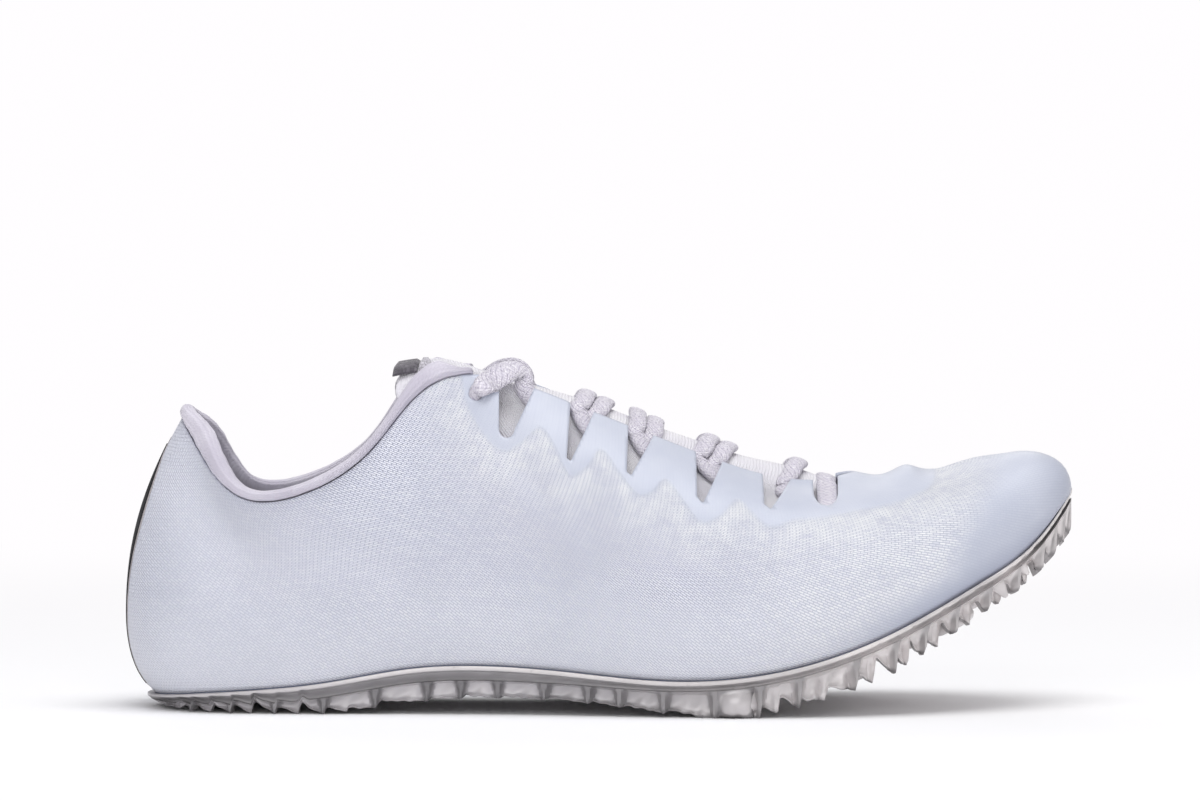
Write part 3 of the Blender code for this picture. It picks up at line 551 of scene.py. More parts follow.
# %% Backdrop and floor
WHITE = (1.0, 0.985, 1.0, 1)
PAPER = (0.93, 0.93, 0.94, 1)
AMBIENT = 0.46
FADE_FROM, FADE_TO = 0.20, 0.75
FLOOR_RADIUS, FLOOR_SIDES, FLOOR_DROP = 8, 96, 0.001
world = bpy.data.worlds.new("studio")
scene.world = world
world.use_nodes = True
backdrop = world.node_tree.nodes["Background"]
backdrop.inputs["Color"].default_value = WHITE
seen = node(world.node_tree, "LightPath").outputs["Is Camera Ray"]
lit = node(world.node_tree, "MapRange", {"Value": seen, 3: AMBIENT, 4: 1.0})
world.node_tree.links.new(lit.outputs[0], backdrop.inputs["Strength"])

sweep = bpy.data.materials.new("white_sweep")
sweep.use_nodes = True
tree = sweep.node_tree
tree.nodes.clear()
distance = node(tree, "VectorMath", {0: object_place(tree)}, operation="LENGTH").outputs["Value"]
paper = node(tree, "BsdfDiffuse", {"Color": PAPER}).outputs[0]
glow = node(tree, "Emission", {"Color": WHITE, "Strength": 1.0}).outputs[0]
mix = node(tree, "MixShader", {0: graded(tree, distance, FADE_FROM, FADE_TO), 1: paper, 2: glow})
node(tree, "OutputMaterial", {"Surface": mix.outputs[0]})
# A point below the disc tells which side of it is up.
turn = full_turn(FLOOR_SIDES)
disc = np.stack([FLOOR_RADIUS * np.cos(turn), FLOOR_RADIUS * np.sin(turn), 0 * turn], -1)
below = [[0, 0, -FLOOR_DROP]]
floor = build("floor", np.vstack([disc, below]), [np.arange(FLOOR_SIDES)[None]], None, [sweep])
print("floor", 2 * FLOOR_RADIUS, "m across")

# %% [markdown]
# ## The knit and the film
# The upper is a glossy engineered knit: short slanted stitches in rows and fine slanted wales.
# Painted highlights whiten patches and single stitches near the film and on the forefoot, painted
# shade darkens the gaps between stitches, and painted bounce light makes it paler low on the wall.
# Smooth film is fused on round the lace notches and over the toe. The stitches are a brick pattern on
# the cloth's own map, turned to their slant, and the film, the toe cap and the height above the plate
# are marked on the points of the upper.

# %% Patterns that the finishes share


def new_finish(name, sockets):
    """A new material with the shader's sockets filled: the material, its node tree and its shader."""
    finish = bpy.data.materials.new(name)
    finish.use_nodes = True
    shader = finish.node_tree.nodes["Principled BSDF"]
    fill(finish.node_tree, shader, sockets)
    return finish, finish.node_tree, shader


def cloth_map(tree):
    """The piece's own map of its cloth, in millimetres."""
    return node(tree, "UVMap", uv_map="cloth").outputs[0]


def turned_map(tree, cloth, degrees):
    """A map turned by degrees."""
    return node(tree, "Mapping", {"Vector": cloth, "Rotation": (0, 0, math.radians(degrees))}).outputs[0]


def bands(tree, cloth, degrees, scale, distortion, detail_scale):
    """Soft parallel bands across a turned map, 0 between two and 1 on each."""
    sockets = {"Vector": turned_map(tree, cloth, degrees), "Scale": scale, "Distortion": distortion}
    sockets.update({"Detail": 1.0, "Detail Scale": detail_scale})
    return node(tree, "TexWave", sockets, wave_type="BANDS", bands_direction="X").outputs["Fac"]


def stitches(tree, cloth, degrees, long, tall, seam=0.14):
    """Rows of staggered stitches on a turned map: (0 in a stitch to 1 between two, random shade)."""
    brick = node(tree, "TexBrick", {
        "Vector": turned_map(tree, cloth, degrees),
        "Color1": (0, 0, 0, 1), "Color2": (1, 1, 1, 1), "Mortar": (0.5, 0.5, 0.5, 1),
        "Scale": 1.0, "Mortar Size": seam, "Mortar Smooth": 1.0, "Bias": 0.0,
        "Brick Width": long, "Row Height": tall,
    }, offset=0.5, squash=1.0)
    return brick.outputs["Fac"], brick.outputs["Color"]


def noise(tree, vector, scale, detail=2.0, roughness=0.5):
    """Cloudy noise around 0.5, with scale clouds to a unit of the map."""
    sockets = {"Vector": vector, "Scale": scale, "Detail": detail, "Roughness": roughness}
    return node(tree, "TexNoise", sockets).outputs["Fac"]


def attribute(tree, name):
    """A number that was marked on the points of the piece."""
    return node(tree, "Attribute", attribute_name=name).outputs["Fac"]


def relief(tree, height, depth, strength=1.0, normal=None):
    """Bump of a real depth in metres."""
    sockets = {"Height": height, "Distance": depth, "Strength": strength}
    if normal is not None:
        sockets["Normal"] = normal
    return node(tree, "Bump", sockets).outputs[0]


def darker(colour, share):
    """A colour with a share of its light."""
    return tuple(part * share for part in colour[:3]) + (1,)


# %% Finish of the upper
# The brightest knit colour is a painted highlight. The gap colour is painted shade between stitches, and the
# low colour is painted bounce light low on the wall. The tip colour is painted shade at the toe. The feather
# colour is a thin blue-grey line, partly painted shade of the gap at the plate.
KNIT_DARK, KNIT_LIGHT, KNIT_HIGHLIGHT = linear(216, 219, 233), linear(226, 228, 241), linear(250, 252, 255)
KNIT_GAP_SHADE, KNIT_WALE, KNIT_BOUNCE_LIGHT = linear(152, 159, 188), linear(182, 188, 208), linear(244, 246, 253)
FILM_DARK, FILM_LIGHT = linear(184, 190, 207), linear(194, 199, 214)
TIP_SHADE, FEATHER_SHADE = linear(140, 148, 172), linear(160, 172, 206)
STITCH_TURN, STITCH_LONG, STITCH_TALL = 38, 1.9, 0.68


def knit_tone(tree, between, shade, wales, patches):
    """Colour of the bare knit: clouded yarn, painted glints on the flank and forefoot, painted shade in the
    gaps, and painted bounce light low down.
    """
    place, along, cloth = object_place(tree), length_place(tree), cloth_map(tree)
    near_film = graded(tree, attribute(tree, "film"), -16.0, -1.0)
    forward = graded(tree, along, 0.030, 0.075)
    calm = graded(tree, along, -0.125, -0.060, 0.55, 1.0)
    # Painted highlights: whitish patches near the film and on the forefoot, then single glinting stitches.
    glint_zone = maths(tree, "MAXIMUM", near_film, times(tree, forward, 0.60))
    glow = graded(tree, noise(tree, place, 210.0, 4.0, 0.65), 0.30, 0.70, 0.05, 0.90)
    streak_map = node(tree, "Mapping", {"Vector": cloth, "Scale": (0.05, 0.5, 1), "Rotation": (0, 0, 0.6)})
    streaks = graded(tree, noise(tree, streak_map.outputs[0], 1.0, 4.0, 0.6), 0.3, 0.7, 0.18, 0.40)
    stitch_glints = times(tree, graded(tree, shade, 0.0, 1.0), streaks)
    lively = maths(tree, "ADD", calm, times(tree, forward, 1.1))
    tone = blended(tree, graded(tree, patches, 0.30, 0.70), KNIT_DARK, KNIT_LIGHT)
    tone = blended(tree, times(tree, glint_zone, glow), tone, KNIT_HIGHLIGHT)
    tone = blended(tree, maths(tree, "MULTIPLY", stitch_glints, lively, clamp=True), tone, KNIT_HIGHLIGHT)
    # Painted shade in the gaps between stitches, weaker at the heel.
    tone = blended(tree, times(tree, between, times(tree, calm, 0.85)), tone, KNIT_GAP_SHADE)
    tone = blended(tree, times(tree, graded(tree, wales, 0.60, 1.0), 0.13), tone, KNIT_WALE)
    # Painted bounce light: the knit is paler low on the wall.
    return blended(tree, graded(tree, attribute(tree, "height"), 4.0, 34.0, 0.34, 0.0), tone, KNIT_BOUNCE_LIGHT)


def upper_finish():
    """Knit under smooth film, with painted shade low at the toe and at its tip, and a thin blue-grey line
    along the feather line, partly painted shade.
    """
    sockets = {"Sheen Weight": 0.25, "Sheen Roughness": 0.4, "Specular IOR Level": 0.55}
    finish, tree, shader = new_finish("engineered_knit", sockets)
    cloth, along, foot = cloth_map(tree), length_place(tree), attribute(tree, "height")
    film = graded(tree, attribute(tree, "film"), -1.1, 1.1)
    smooth = maths(tree, "MAXIMUM", film, attribute(tree, "toe_film"))
    between, shade = stitches(tree, cloth, STITCH_TURN, STITCH_LONG, STITCH_TALL)
    wales = bands(tree, cloth, 36, 0.18, 0.8, 0.3)
    patches = noise(tree, object_place(tree), 26.0, 3.0)
    tone = knit_tone(tree, between, shade, wales, patches)
    cover = blended(tree, graded(tree, patches, 0.3, 0.7), FILM_DARK, FILM_LIGHT)
    tone = blended(tree, times(tree, smooth, 0.86), tone, cover)
    # Painted shade low round the toe and at its tip.
    low_toe = times(tree, graded(tree, foot, 0.5, 10.0, 0.55, 0.0), graded(tree, along, 0.040, 0.115))
    tip = maths(tree, "MAXIMUM", low_toe, graded(tree, along, 0.124, 0.139, 0.0, 0.40))
    tone = blended(tree, tip, tone, TIP_SHADE)
    # A thin blue-grey line along the feather edge, partly painted shade of the gap at the plate.
    tone = blended(tree, graded(tree, foot, 0.25, 0.50, 1.0, 0.0), tone, FEATHER_SHADE)
    bare = less(tree, 1.0, times(tree, smooth, 0.93))
    yarn = times(tree, less(tree, 1.0, between), bare)
    ribs = times(tree, wales, times(tree, bare, 0.14))
    knitted = relief(tree, maths(tree, "ADD", yarn, ribs), 0.00022, 0.9)
    rough = less(tree, 0.52, times(tree, smooth, 0.16))
    normal = relief(tree, film, 0.00020, 1.0, knitted)
    fill(tree, shader, {"Base Color": tone, "Roughness": rough, "Normal": normal})
    return finish


# %% Finish of the lining, collar, tongue and sockliner
BAND_SCALE = 0.314
# The share of light left in the painted deep shade inside the shoe.
INNER_SHADE = 0.20


def ribbed_cloth(name, dark, light, pitch, turn, depth=0.0002, inner=None):
    """Plain knit with fine ribs, a pitch apart in millimetres, across the cloth's map at a turn.

    inner is the mark of the points that face into the shoe, where the cloth is painted in deep shade.
    """
    sockets = {"Sheen Weight": 0.35, "Sheen Roughness": 0.5, "Roughness": 0.75}
    finish, tree, shader = new_finish(name, sockets)
    cloth = cloth_map(tree)
    between = stitches(tree, cloth, 30, 1.5, 0.7)[0]
    ribs = bands(tree, cloth, turn, BAND_SCALE / pitch, 0.3, 0.4)
    tone = blended(tree, graded(tree, noise(tree, object_place(tree), 60.0, 3.0), 0.3, 0.7), dark, light)
    # Painted shade in the gaps between stitches and in the troughs between ribs.
    tone = blended(tree, times(tree, between, 0.35), tone, dark)
    tone = blended(tree, graded(tree, ribs, 0.0, 0.5, 0.45, 0.0), tone, dark)
    # Painted deep shade where the cloth faces into the shoe.
    if inner:
        tone = blended(tree, times(tree, attribute(tree, inner), 0.92), tone, darker(dark, INNER_SHADE))
    yarn = times(tree, less(tree, 1.0, between), 0.4)
    normal = relief(tree, maths(tree, "ADD", ribs, yarn), depth)
    fill(tree, shader, {"Base Color": tone, "Normal": normal})
    return finish


knit = upper_finish()
lining = ribbed_cloth("collar_lining", linear(158, 155, 178), linear(196, 192, 210), 1.3, 90)
roll_dark, roll_light = linear(204, 199, 214), linear(224, 220, 232)
collar_knit = ribbed_cloth("collar_knit", roll_dark, roll_light, 1.6, 90, 0.00018, "inner")
print("finishes", knit.name, lining.name, collar_knit.name)

# %% [markdown]
# ## The upper
# The knit upper is pulled over a last, so it takes the last's shape and a wall of real thickness.
# Here its face is a fine grid of the same section curves. Lace notches are cut by moving the points
# nearest to each outline onto it and dropping the faces inside, which leaves a clean cut edge that
# Solidify then gives its wall.

# %% Columns and rows of the upper
# Columns lie closer between the laced shares, beside the notches, and rows lie closer above FINE_FROM.
LACED = (0.455, 0.925)
FINE_FROM = 0.62
FOOT_SINK = 0.06 * MM
side_shares = np.concatenate([
    np.linspace(0, LACED[0], 76)[:-1], np.linspace(*LACED, 190)[:-1], np.linspace(LACED[1], 1, 16),
])
row_shares = np.concatenate([np.linspace(0, FINE_FROM, 22)[:-1], np.linspace(FINE_FROM, 1, 34)])
outer_face = meridians(side_shares, -1, row_shares)
inner_face = meridians(side_shares[-2:0:-1], 1, row_shares)
face = np.concatenate([outer_face, inner_face])
face[:, 0, 2] -= GAP - FOOT_SINK
column_share = np.concatenate([side_shares, 2 - side_shares[-2:0:-1], [2.0]])
along_mm = column_share * HALF_PERIMETER / MM
climb = np.linalg.norm(np.diff(face, axis=1), axis=2).cumsum(1) / MM
climb = np.concatenate([np.zeros((len(face), 1)), climb], 1)
print("upper grid", face.shape)

# %% Outline of the film


def side_place(rows):
    """Table rows in shares of the length and of the instep height, as points in side view."""
    return np.array(rows, float) * (LENGTH, INSTEP_HEIGHT)


# The film's lower edge: a lobe under each lace notch and a scallop between two.
FILM_EDGE = (
    (-0.150, 1.080), (-0.143, 0.935), (-0.126, 0.836), (-0.103, 0.776), (-0.083, 0.800), (-0.063, 0.842),
    (-0.047, 0.780), (-0.032, 0.704), (-0.013, 0.735), (0.000, 0.778), (0.018, 0.716), (0.037, 0.652),
    (0.054, 0.660), (0.068, 0.692), (0.086, 0.630), (0.103, 0.572), (0.124, 0.590), (0.142, 0.634),
    (0.158, 0.592), (0.176, 0.556), (0.200, 0.576), (0.225, 0.580), (0.250, 0.592), (0.290, 0.612),
    (0.325, 0.640), (0.350, 0.700), (0.356, 0.900),
)
ABOVE_ALL = 1.4
above_shoe = side_place([(FILM_EDGE[-1][0], ABOVE_ALL), (FILM_EDGE[0][0], ABOVE_ALL)])
film_outline = np.vstack([rounded_path(side_place(FILM_EDGE), 10), above_shoe])
print("film edge of", len(FILM_EDGE), "places")

# %% Creases of the knit
# Both ends in side view, then width and height in metres, where minus is a trough.
Crease = namedtuple("Crease", "start end width height")
CREASES = [Crease(*row) for row in (
    ((-0.130, 0.800), (-0.055, 0.560), 0.0045, 0.0010), ((-0.100, 0.760), (-0.045, 0.600), 0.0030, -0.0008),
    ((-0.055, 0.800), (-0.030, 0.480), 0.0040, 0.0009), ((-0.020, 0.700), (0.000, 0.380), 0.0042, -0.0008),
    ((0.010, 0.690), (0.040, 0.450), 0.0038, 0.0007), ((0.072, 0.640), (0.088, 0.420), 0.0036, -0.0007),
    ((0.150, 0.580), (0.170, 0.400), 0.0040, 0.0006), ((0.250, 0.560), (0.330, 0.600), 0.0034, -0.0003),
    ((-0.300, 0.520), (-0.210, 0.420), 0.0060, -0.0006), ((-0.400, 0.400), (-0.330, 0.300), 0.0060, -0.0005),
    ((0.060, 0.300), (0.160, 0.360), 0.0060, -0.0005),
)]


def crease_height(points):
    """Sum over the creases of height times a bell curve of the distance to the crease's line.

    A crease fades towards both ends as a sine.
    """
    x, z = points[..., 0], points[..., 2]
    total = np.zeros(x.shape)
    for crease in CREASES:
        start, end = side_place([crease.start, crease.end])
        along = end - start
        t = np.clip(((x - start[0]) * along[0] + (z - start[1]) * along[1]) / (along @ along), 0, 1)
        away = np.hypot(x - start[0] - t * along[0], z - start[1] - t * along[1])
        ends = np.sin(np.pi * np.clip(0.12 + 0.76 * t, 0, 1))
        total += crease.height * ends * np.exp(-((away / crease.width) ** 2))
    return total


print(len(CREASES), "creases")

# %% Outlines to cut: six lace notches and the eyelet
EYELET_RADIUS = 0.0021
EYELET = np.array((-0.1309 * LENGTH, 0.9455 * INSTEP_HEIGHT))
NOTCH_TOP = 1.10 * INSTEP_HEIGHT
FOOT_HEIGHT = 0.0035
from_instep = side_shares > 0.46
throat_x, throat_z = (outer_face[from_instep, -1, k] for k in (0, 2))


def notch_outline(notch):
    """A lace notch in side view: rear corner, rounded foot, and a slanted front that runs on upwards."""
    back, front = LENGTH * notch.top_back, LENGTH * notch.top_front
    foot, low = LENGTH * notch.foot, INSTEP_HEIGHT * notch.foot_z
    flat = notch.foot_round / 2
    bend = np.linspace(math.pi, 2 * math.pi, 13)
    arc = np.stack([foot + flat * np.cos(bend), low + min(flat, FOOT_HEIGHT) * (1 + np.sin(bend))], -1)
    height = np.interp(front, throat_x, throat_z)
    lean = max(front - arc[-1, 0], 0) / max(height - arc[-1, 1], 1e-4)
    ahead = arc[-1, 0] + lean * (NOTCH_TOP - arc[-1, 1])
    return np.vstack([[(back, NOTCH_TOP)], arc, [(ahead, NOTCH_TOP)]])


ring = full_turn(24)
cuts = [notch_outline(notch) for notch in NOTCHES]
cuts.append(EYELET + EYELET_RADIUS * np.stack([np.cos(ring), np.sin(ring)], -1))
print(len(cuts), "cuts in each side")

# %% Raise the film and creases, and mark the finishes
FILM_THICKNESS, FILM_BEVEL = 0.00018, 0.0003
TOE_FILM = 0.96
normal = grid_normals(face)
normal *= np.sign(np.einsum("ijk,ijk->", normal, face - face.mean((0, 1))))
film_in = edge_distance(face[..., 0], face[..., 2], film_outline)
toe_reach = ease(face[..., 0] + 0.014 * (1 - ease(climb, 5, 30)), 0.103, 0.121)
low_toe = ease(face[..., 0], 0.060, 0.100) * (1 - ease(climb, 5, 13))
toe_in = TOE_FILM * np.maximum(toe_reach, low_toe)
raised = FILM_THICKNESS * ease(film_in, -FILM_BEVEL, FILM_BEVEL)
fade = ease(climb, 3, 14) * ease(climb[:, -1:] - climb, 0.5, 5)
shell = face + normal * (raised + crease_height(face) * fade)[..., None]
print("film covers", int((film_in > 0).sum()), "points")

# %% The ridge over the toes
# The ridge over the toes dips behind and ahead of a small bump: place and change of height in metres.
TOE_RIDGE = (
    (0.066, 0.0), (0.0725, 0.0003), (0.077, -0.0008), (0.081, -0.0017), (0.085, -0.0010), (0.089, 0.0001),
    (0.093, -0.0016), (0.098, -0.0031), (0.103, -0.0024), (0.108, -0.0015), (0.113, -0.0012),
    (0.118, -0.0010), (0.122, -0.0004), (0.127, 0.0),
)
RIDGE_WIDTH = 0.0150
ridge_at, ridge_change = np.array(TOE_RIDGE).T
on_ridge = np.exp(-((face[..., 1] / RIDGE_WIDTH) ** 2)) * (face[..., 0] > ridge_at[0])
shell[..., 2] += spline(ridge_at, ridge_change)(face[..., 0]) * on_ridge
print("the ridge dips by up to", round(-ridge_change.min() / MM, 1), "mm")

# %% Cut the notches and close the wall


def cut_open(points, outlines):
    """Moves the points nearest to the outlines onto them, and returns them with their places.

    A place is how far a point lies inside an outline: more than 0 is cut away, and 0 is on the cut.
    """
    columns, rows = points.shape[:2]
    flat = points.reshape(-1, 3).copy()
    inside = np.full(len(flat), -1.0)
    for outline in outlines:
        inside = np.maximum(inside, edge_distance(flat[:, 0], flat[:, 2], outline))
    number = np.arange(columns * rows).reshape(columns, rows)
    pairs = np.vstack([
        np.stack([number, np.roll(number, -1, 0)], -1).reshape(-1, 2),
        np.stack([number[:, :-1], number[:, 1:]], -1).reshape(-1, 2),
    ])
    pairs = pairs[(inside[pairs[:, 0]] > 0) != (inside[pairs[:, 1]] > 0)]
    a, b = pairs.T
    t = inside[a] / (inside[a] - inside[b])
    crossing = flat[a] + (flat[b] - flat[a]) * t[:, None]
    nearer = np.where(t < 0.5, a, b)
    shift = np.where(t < 0.5, t, 1 - t)
    order = np.argsort(-shift)
    flat[nearer[order]] = crossing[order]
    inside[nearer] = 0.0
    return flat.reshape(points.shape), inside.reshape(columns, rows)


shell, cut = cut_open(shell, cuts)
columns, rows = shell.shape[:2]
i, k = corner_faces(columns, rows, ring=True)
corner = (i % columns) * rows + k
inside = cut.ravel()[corner]
kept = (inside <= 0).all(1) & (inside < 0).any(1)
split = (inside > 0).any(1) & (inside < 0).any(1) & ((inside == 0).sum(1) == 2)
gone = np.argmax(inside[split] > 0, axis=1)
left_over = (gone[:, None] + np.array([1, 2, 3])) % 4
triangles = np.take_along_axis(corner[split], left_over, 1)
along_uv = np.broadcast_to(along_mm[:, None], (columns + 1, rows))
cloth_uv = np.stack([along_uv, np.vstack([climb, climb[:1]])], -1)
quad_uv = cloth_uv[i, k]
tri_uv = np.take_along_axis(quad_uv[split], left_over[..., None], 1)
upper = build("upper_shell", shell, [corner[kept], triangles], [quad_uv[kept], tri_uv], [knit, lining])
mark(upper, "film", film_in / MM)
mark(upper, "toe_film", toe_in)
mark(upper, "height", climb)
cage = bmesh.new()
cage.from_mesh(upper.data)
bmesh.ops.delete(cage, geom=[point for point in cage.verts if not point.link_faces], context="VERTS")
cage.to_mesh(upper.data)
cage.free()
wall = upper.modifiers.new("wall", "SOLIDIFY")
wall.thickness, wall.offset, wall.use_even_offset = UPPER_WALL, -1, True
wall.material_offset, wall.material_offset_rim = 1, 0
lay_on(upper, "upper")

# %% [markdown]
# A strip of dark film runs up the back of the heel, with a thin grey trim under its edges. Each is
# a sheet laid on the heel's own surface: at each height its width is known, and the heel's contour
# gives the rest.

# %% Heel strip
# Heights and half widths in metres.
HEEL_STRIP = (
    (0.006, 0.0020), (0.018, 0.0034), (0.031, 0.0052), (0.042, 0.0070), (0.052, 0.0080), (0.061, 0.0068),
    (0.070, 0.0038), (0.0765, 0.0003),
)
strip_half = spline(*np.array(HEEL_STRIP).T)
HEEL_COLUMNS, HEEL_ROWS = 90, 21


def plain_film(name, colour, roughness, shine=0.5):
    """Smooth film with faint clouding, fine grain and a soft gloss."""
    finish, tree, shader = new_finish(name, {"Specular IOR Level": shine})
    place = object_place(tree)
    cloud = noise(tree, place, 180.0, 4.0, 0.6)
    fill(tree, shader, {
        "Base Color": blended(tree, graded(tree, cloud, 0.3, 0.7), colour, darker(colour, 0.72)),
        "Roughness": graded(tree, cloud, 0.3, 0.7, roughness, roughness + 0.15),
        "Normal": relief(tree, noise(tree, place, 1400.0), 0.00006),
    })
    return finish


def heel_sheet(name, finish, wider, lift, thickness, low, high):
    """A sheet on the back of the heel: half as wide as the table says plus wider, lifted off the knit.

    At each height the heel's contour gives x where y is known.
    """
    around = np.concatenate([face[-30:], face[:31]])
    bands_up = []
    for z in np.linspace(low, high, HEEL_COLUMNS):
        contour = np.array([[np.interp(z, line[:, 2], line[:, k]) for k in (0, 1)] for line in around])
        x, y = contour[np.argsort(contour[:, 1])].T
        across = np.linspace(-1, 1, HEEL_ROWS) * (float(strip_half(z)) + wider)
        bands_up.append(np.stack([np.interp(across, y, x), across, np.full(HEEL_ROWS, z)], -1))
    grid = np.array(bands_up)
    square = grid_normals(grid)
    square *= -np.sign(square[..., 0].mean())
    outer_side, inner_side = grid + square * (lift + thickness), grid + square * lift
    rings = np.concatenate([outer_side, inner_side[:, ::-1]], axis=1)
    return tube_piece(name, rings, finish, sharp=40)


trim_film = plain_film("grey_trim", linear(196, 190, 192), 0.4)
dark_film = plain_film("dark_film", linear(34, 34, 38), 0.6, shine=0.2)
trim = heel_sheet("heel_trim", trim_film, 0.0009, 0.00004, 0.00014, low=0.0062, high=0.0785)
strip = heel_sheet("heel_strip", dark_film, 0.0, 0.00020, 0.00022, low=0.0068, high=0.0765)
lay_on(trim)
lay_on(strip)

# %% [markdown]
# ## The collar
# The collar is bound with a soft rolled edge of foam under fine knit. It is an oval carried along
# the upper's edge, wider at the heel tip and at the ankle, with a thin seam left open below it.

# %% Frame along the upper's edge
BINDING_WIDTH = 0.0046
BINDING_END = 0.475
COLLAR_SKIRT = 0.0040
COLLAR_ROWS = 40
roll_tall = column(ROLL, "tall", 1)


def edge_frame(share, side):
    """Edge points with the wall's own upward and outward directions: out is along crossed with up."""
    lines = meridians(share, side, COLLAR_ROWS)
    edge, up = lines[:, -1], unit(lines[:, -1] - lines[:, -3])
    step = 0.003
    behind, ahead = (meridians(np.clip(share + d, 0, 1), side, COLLAR_ROWS)[:, -1] for d in (-step, step))
    along = unit(ahead - behind)
    along = np.where((share < step)[:, None], np.array([0.0, side, 0.0]), along)
    square = unit(up - along * (up * along).sum(-1, keepdims=True))
    up = unit(up + (square - up) * (1 - ease(share, 0.13, 0.24))[:, None])
    return edge, up, -unit(np.cross(along, up)) * side


print("collar edge frame ready")

# %% Collar binding
ROLL_SIDES, ROLL_SQUARE = 40, 0.86
ROLL_ROUND_MM = 15
ROLL_SWELL = 0.035


def oval(centre, up, out, tall, wide, skirt):
    """A ring round each centre: tall sin along up, wide cos along out, and a skirt down its inner side."""
    turn = full_turn(ROLL_SIDES)
    c, s = blunt(np.cos(turn), ROLL_SQUARE), blunt(np.sin(turn), ROLL_SQUARE)
    across = c[None, :, None] * out[:, None] * wide[:, None, None] / 2
    turned_in = ease(-c, 0.60, 0.80) * ease(-s, -0.1, 0.5)
    rise = s * tall[:, None] / 2 - skirt[:, None] * turned_in
    return centre[:, None] + across + rise[..., None] * up[:, None], turned_in


half = np.linspace(0, BINDING_END, 170)
roll_rings, inner_marks = [], []
for shares, side in ((half[::-1], -1), (half[1:], 1)):
    edge, up, out = edge_frame(shares, side)
    height = BALL_WIDTH * roll_tall(shares) * np.clip((BINDING_END - shares) / 0.03, 0.45, 1)
    centre = edge + up * (height / 2 + 1.4 * GAP)[:, None] - out * (UPPER_WALL / 2)
    swell = 1 + ROLL_SWELL * np.sin(shares * 190) * np.sin(shares * 67 + side)
    skirt = COLLAR_SKIRT * np.clip((0.36 - shares) / 0.05, 0, 1)
    ring, turned_in = oval(centre, up, out, height * swell, BINDING_WIDTH * swell, skirt)
    roll_rings.append(ring)
    inner_marks.append(np.broadcast_to(turned_in, ring.shape[:2]) * (skirt > 0)[:, None])
roll_rings = np.concatenate(roll_rings)
roll_uv = uv_grid(run_along(roll_rings.mean(1)) / MM, np.linspace(0, ROLL_ROUND_MM, ROLL_SIDES + 1))
binding = tube_piece("collar_roll", roll_rings, collar_knit, roll_uv)
mark(binding, "inner", np.concatenate(inner_marks))
lay_on(binding, "collar_binding")

# %% [markdown]
# ## The tongue
# The tongue is a soft ribbed knit sheet tucked under both edges of the throat, and a dark woven tab
# is sewn on its end. Lines are led across it from wall to wall over the crest of the foot, made
# even along the shoe, and given a lower face.

# %% Tongue surface
TONGUE_TUCK = 0.0300
TONGUE_SHARES = np.linspace(0.388, 0.930, 110)
TONGUE_ACROSS = 61
TONGUE_THICKNESS = 0.0018
TONGUE_ROWS = 60
TONGUE_EVEN = 2.2


def tongue_lines():
    """Lines across the tongue: down inside one wall, up and over the crest, and down the other."""
    share = TONGUE_SHARES
    crest = column(CREST, "height")
    rolled = np.clip((BINDING_END + 0.035 - share) / 0.03, 0, 1)
    drop = UPPER_WALL + 3 * GAP + rolled * ((BINDING_WIDTH - UPPER_WALL) / 2 + GAP)
    drop = drop + 0.0014 * np.clip((share - 0.85) / 0.08, 0, 1)
    room = 0.0022 * ease(share, 0.47, 0.50) * (1 - ease(share, 0.84, 0.88))
    past = 0.0006 + rolled * (BALL_WIDTH * roll_tall(np.minimum(share, BINDING_END)) + 0.0008)
    flank = {}
    top = TONGUE_ROWS - 1
    for side in (-1, 1):
        wall_face = meridians(share, side, TONGUE_ROWS)
        inward = grid_normals(wall_face) * side
        inward = np.where(inward[..., 1:2] * side > 0, -inward, inward)
        length = np.linalg.norm(np.diff(wall_face, axis=1), axis=2).sum(1)
        tuck = np.clip(top - np.round(TONGUE_TUCK / length * top), 0, top).astype(int)
        inside = wall_face + inward * (drop + room)[:, None, None]
        end = wall_face[:, -1] + inward[:, -1] * (drop + 0.3 * room)[:, None]
        end = end + unit(wall_face[:, -1] - wall_face[:, -3]) * past[:, None]
        rows = (tuck, (2 * tuck + top) // 3, (tuck + 2 * top) // 3)
        flank[side] = [inside[np.arange(len(share)), row] for row in rows] + [end]
    x, low = ((flank[-1][3][:, k] + flank[1][3][:, k]) / 2 for k in (0, 2))
    back = -0.0020 * np.maximum(0, 1 - 4 * (share - share[0]) / (share[-1] - share[0])) ** 2
    height = INSTEP_HEIGHT * crest((x - back) / LENGTH)
    middle = []
    for across in (-0.62, -0.3, 0, 0.3, 0.62):
        y = abs(across) * flank[-1 if across < 0 else 1][3][:, 1]
        share_in = 1 - across**2
        middle.append(np.stack([x - back * share_in, y, low + (height - low) * share_in**0.7], -1))
    guide = np.stack(flank[-1] + middle + flank[1][::-1], 1)
    return np.stack([spaced(rounded_path(line, 8), np.linspace(0, 1, TONGUE_ACROSS)) for line in guide])


def evened(grid, spread):
    """The grid with each point drawn to its neighbours along the columns, by a bell curve."""
    reach = int(3 * spread)
    bell = np.exp(-((np.arange(-reach, reach + 1) / spread) ** 2) / 2)
    start = 2 * grid[:1] - grid[reach:0:-1]
    stop = 2 * grid[-1:] - grid[-2 : -2 - reach : -1]
    long = np.concatenate([start, grid, stop])
    return sum(w * long[k : k + len(grid)] for k, w in enumerate(bell / bell.sum()))


tongue_face = evened(tongue_lines(), TONGUE_EVEN)
tongue_face[:, :, 2] -= 0.0004 * (1 - ease(np.abs(tongue_face[:, :, 1]), 0.004, 0.012))
print("tongue grid", tongue_face.shape)

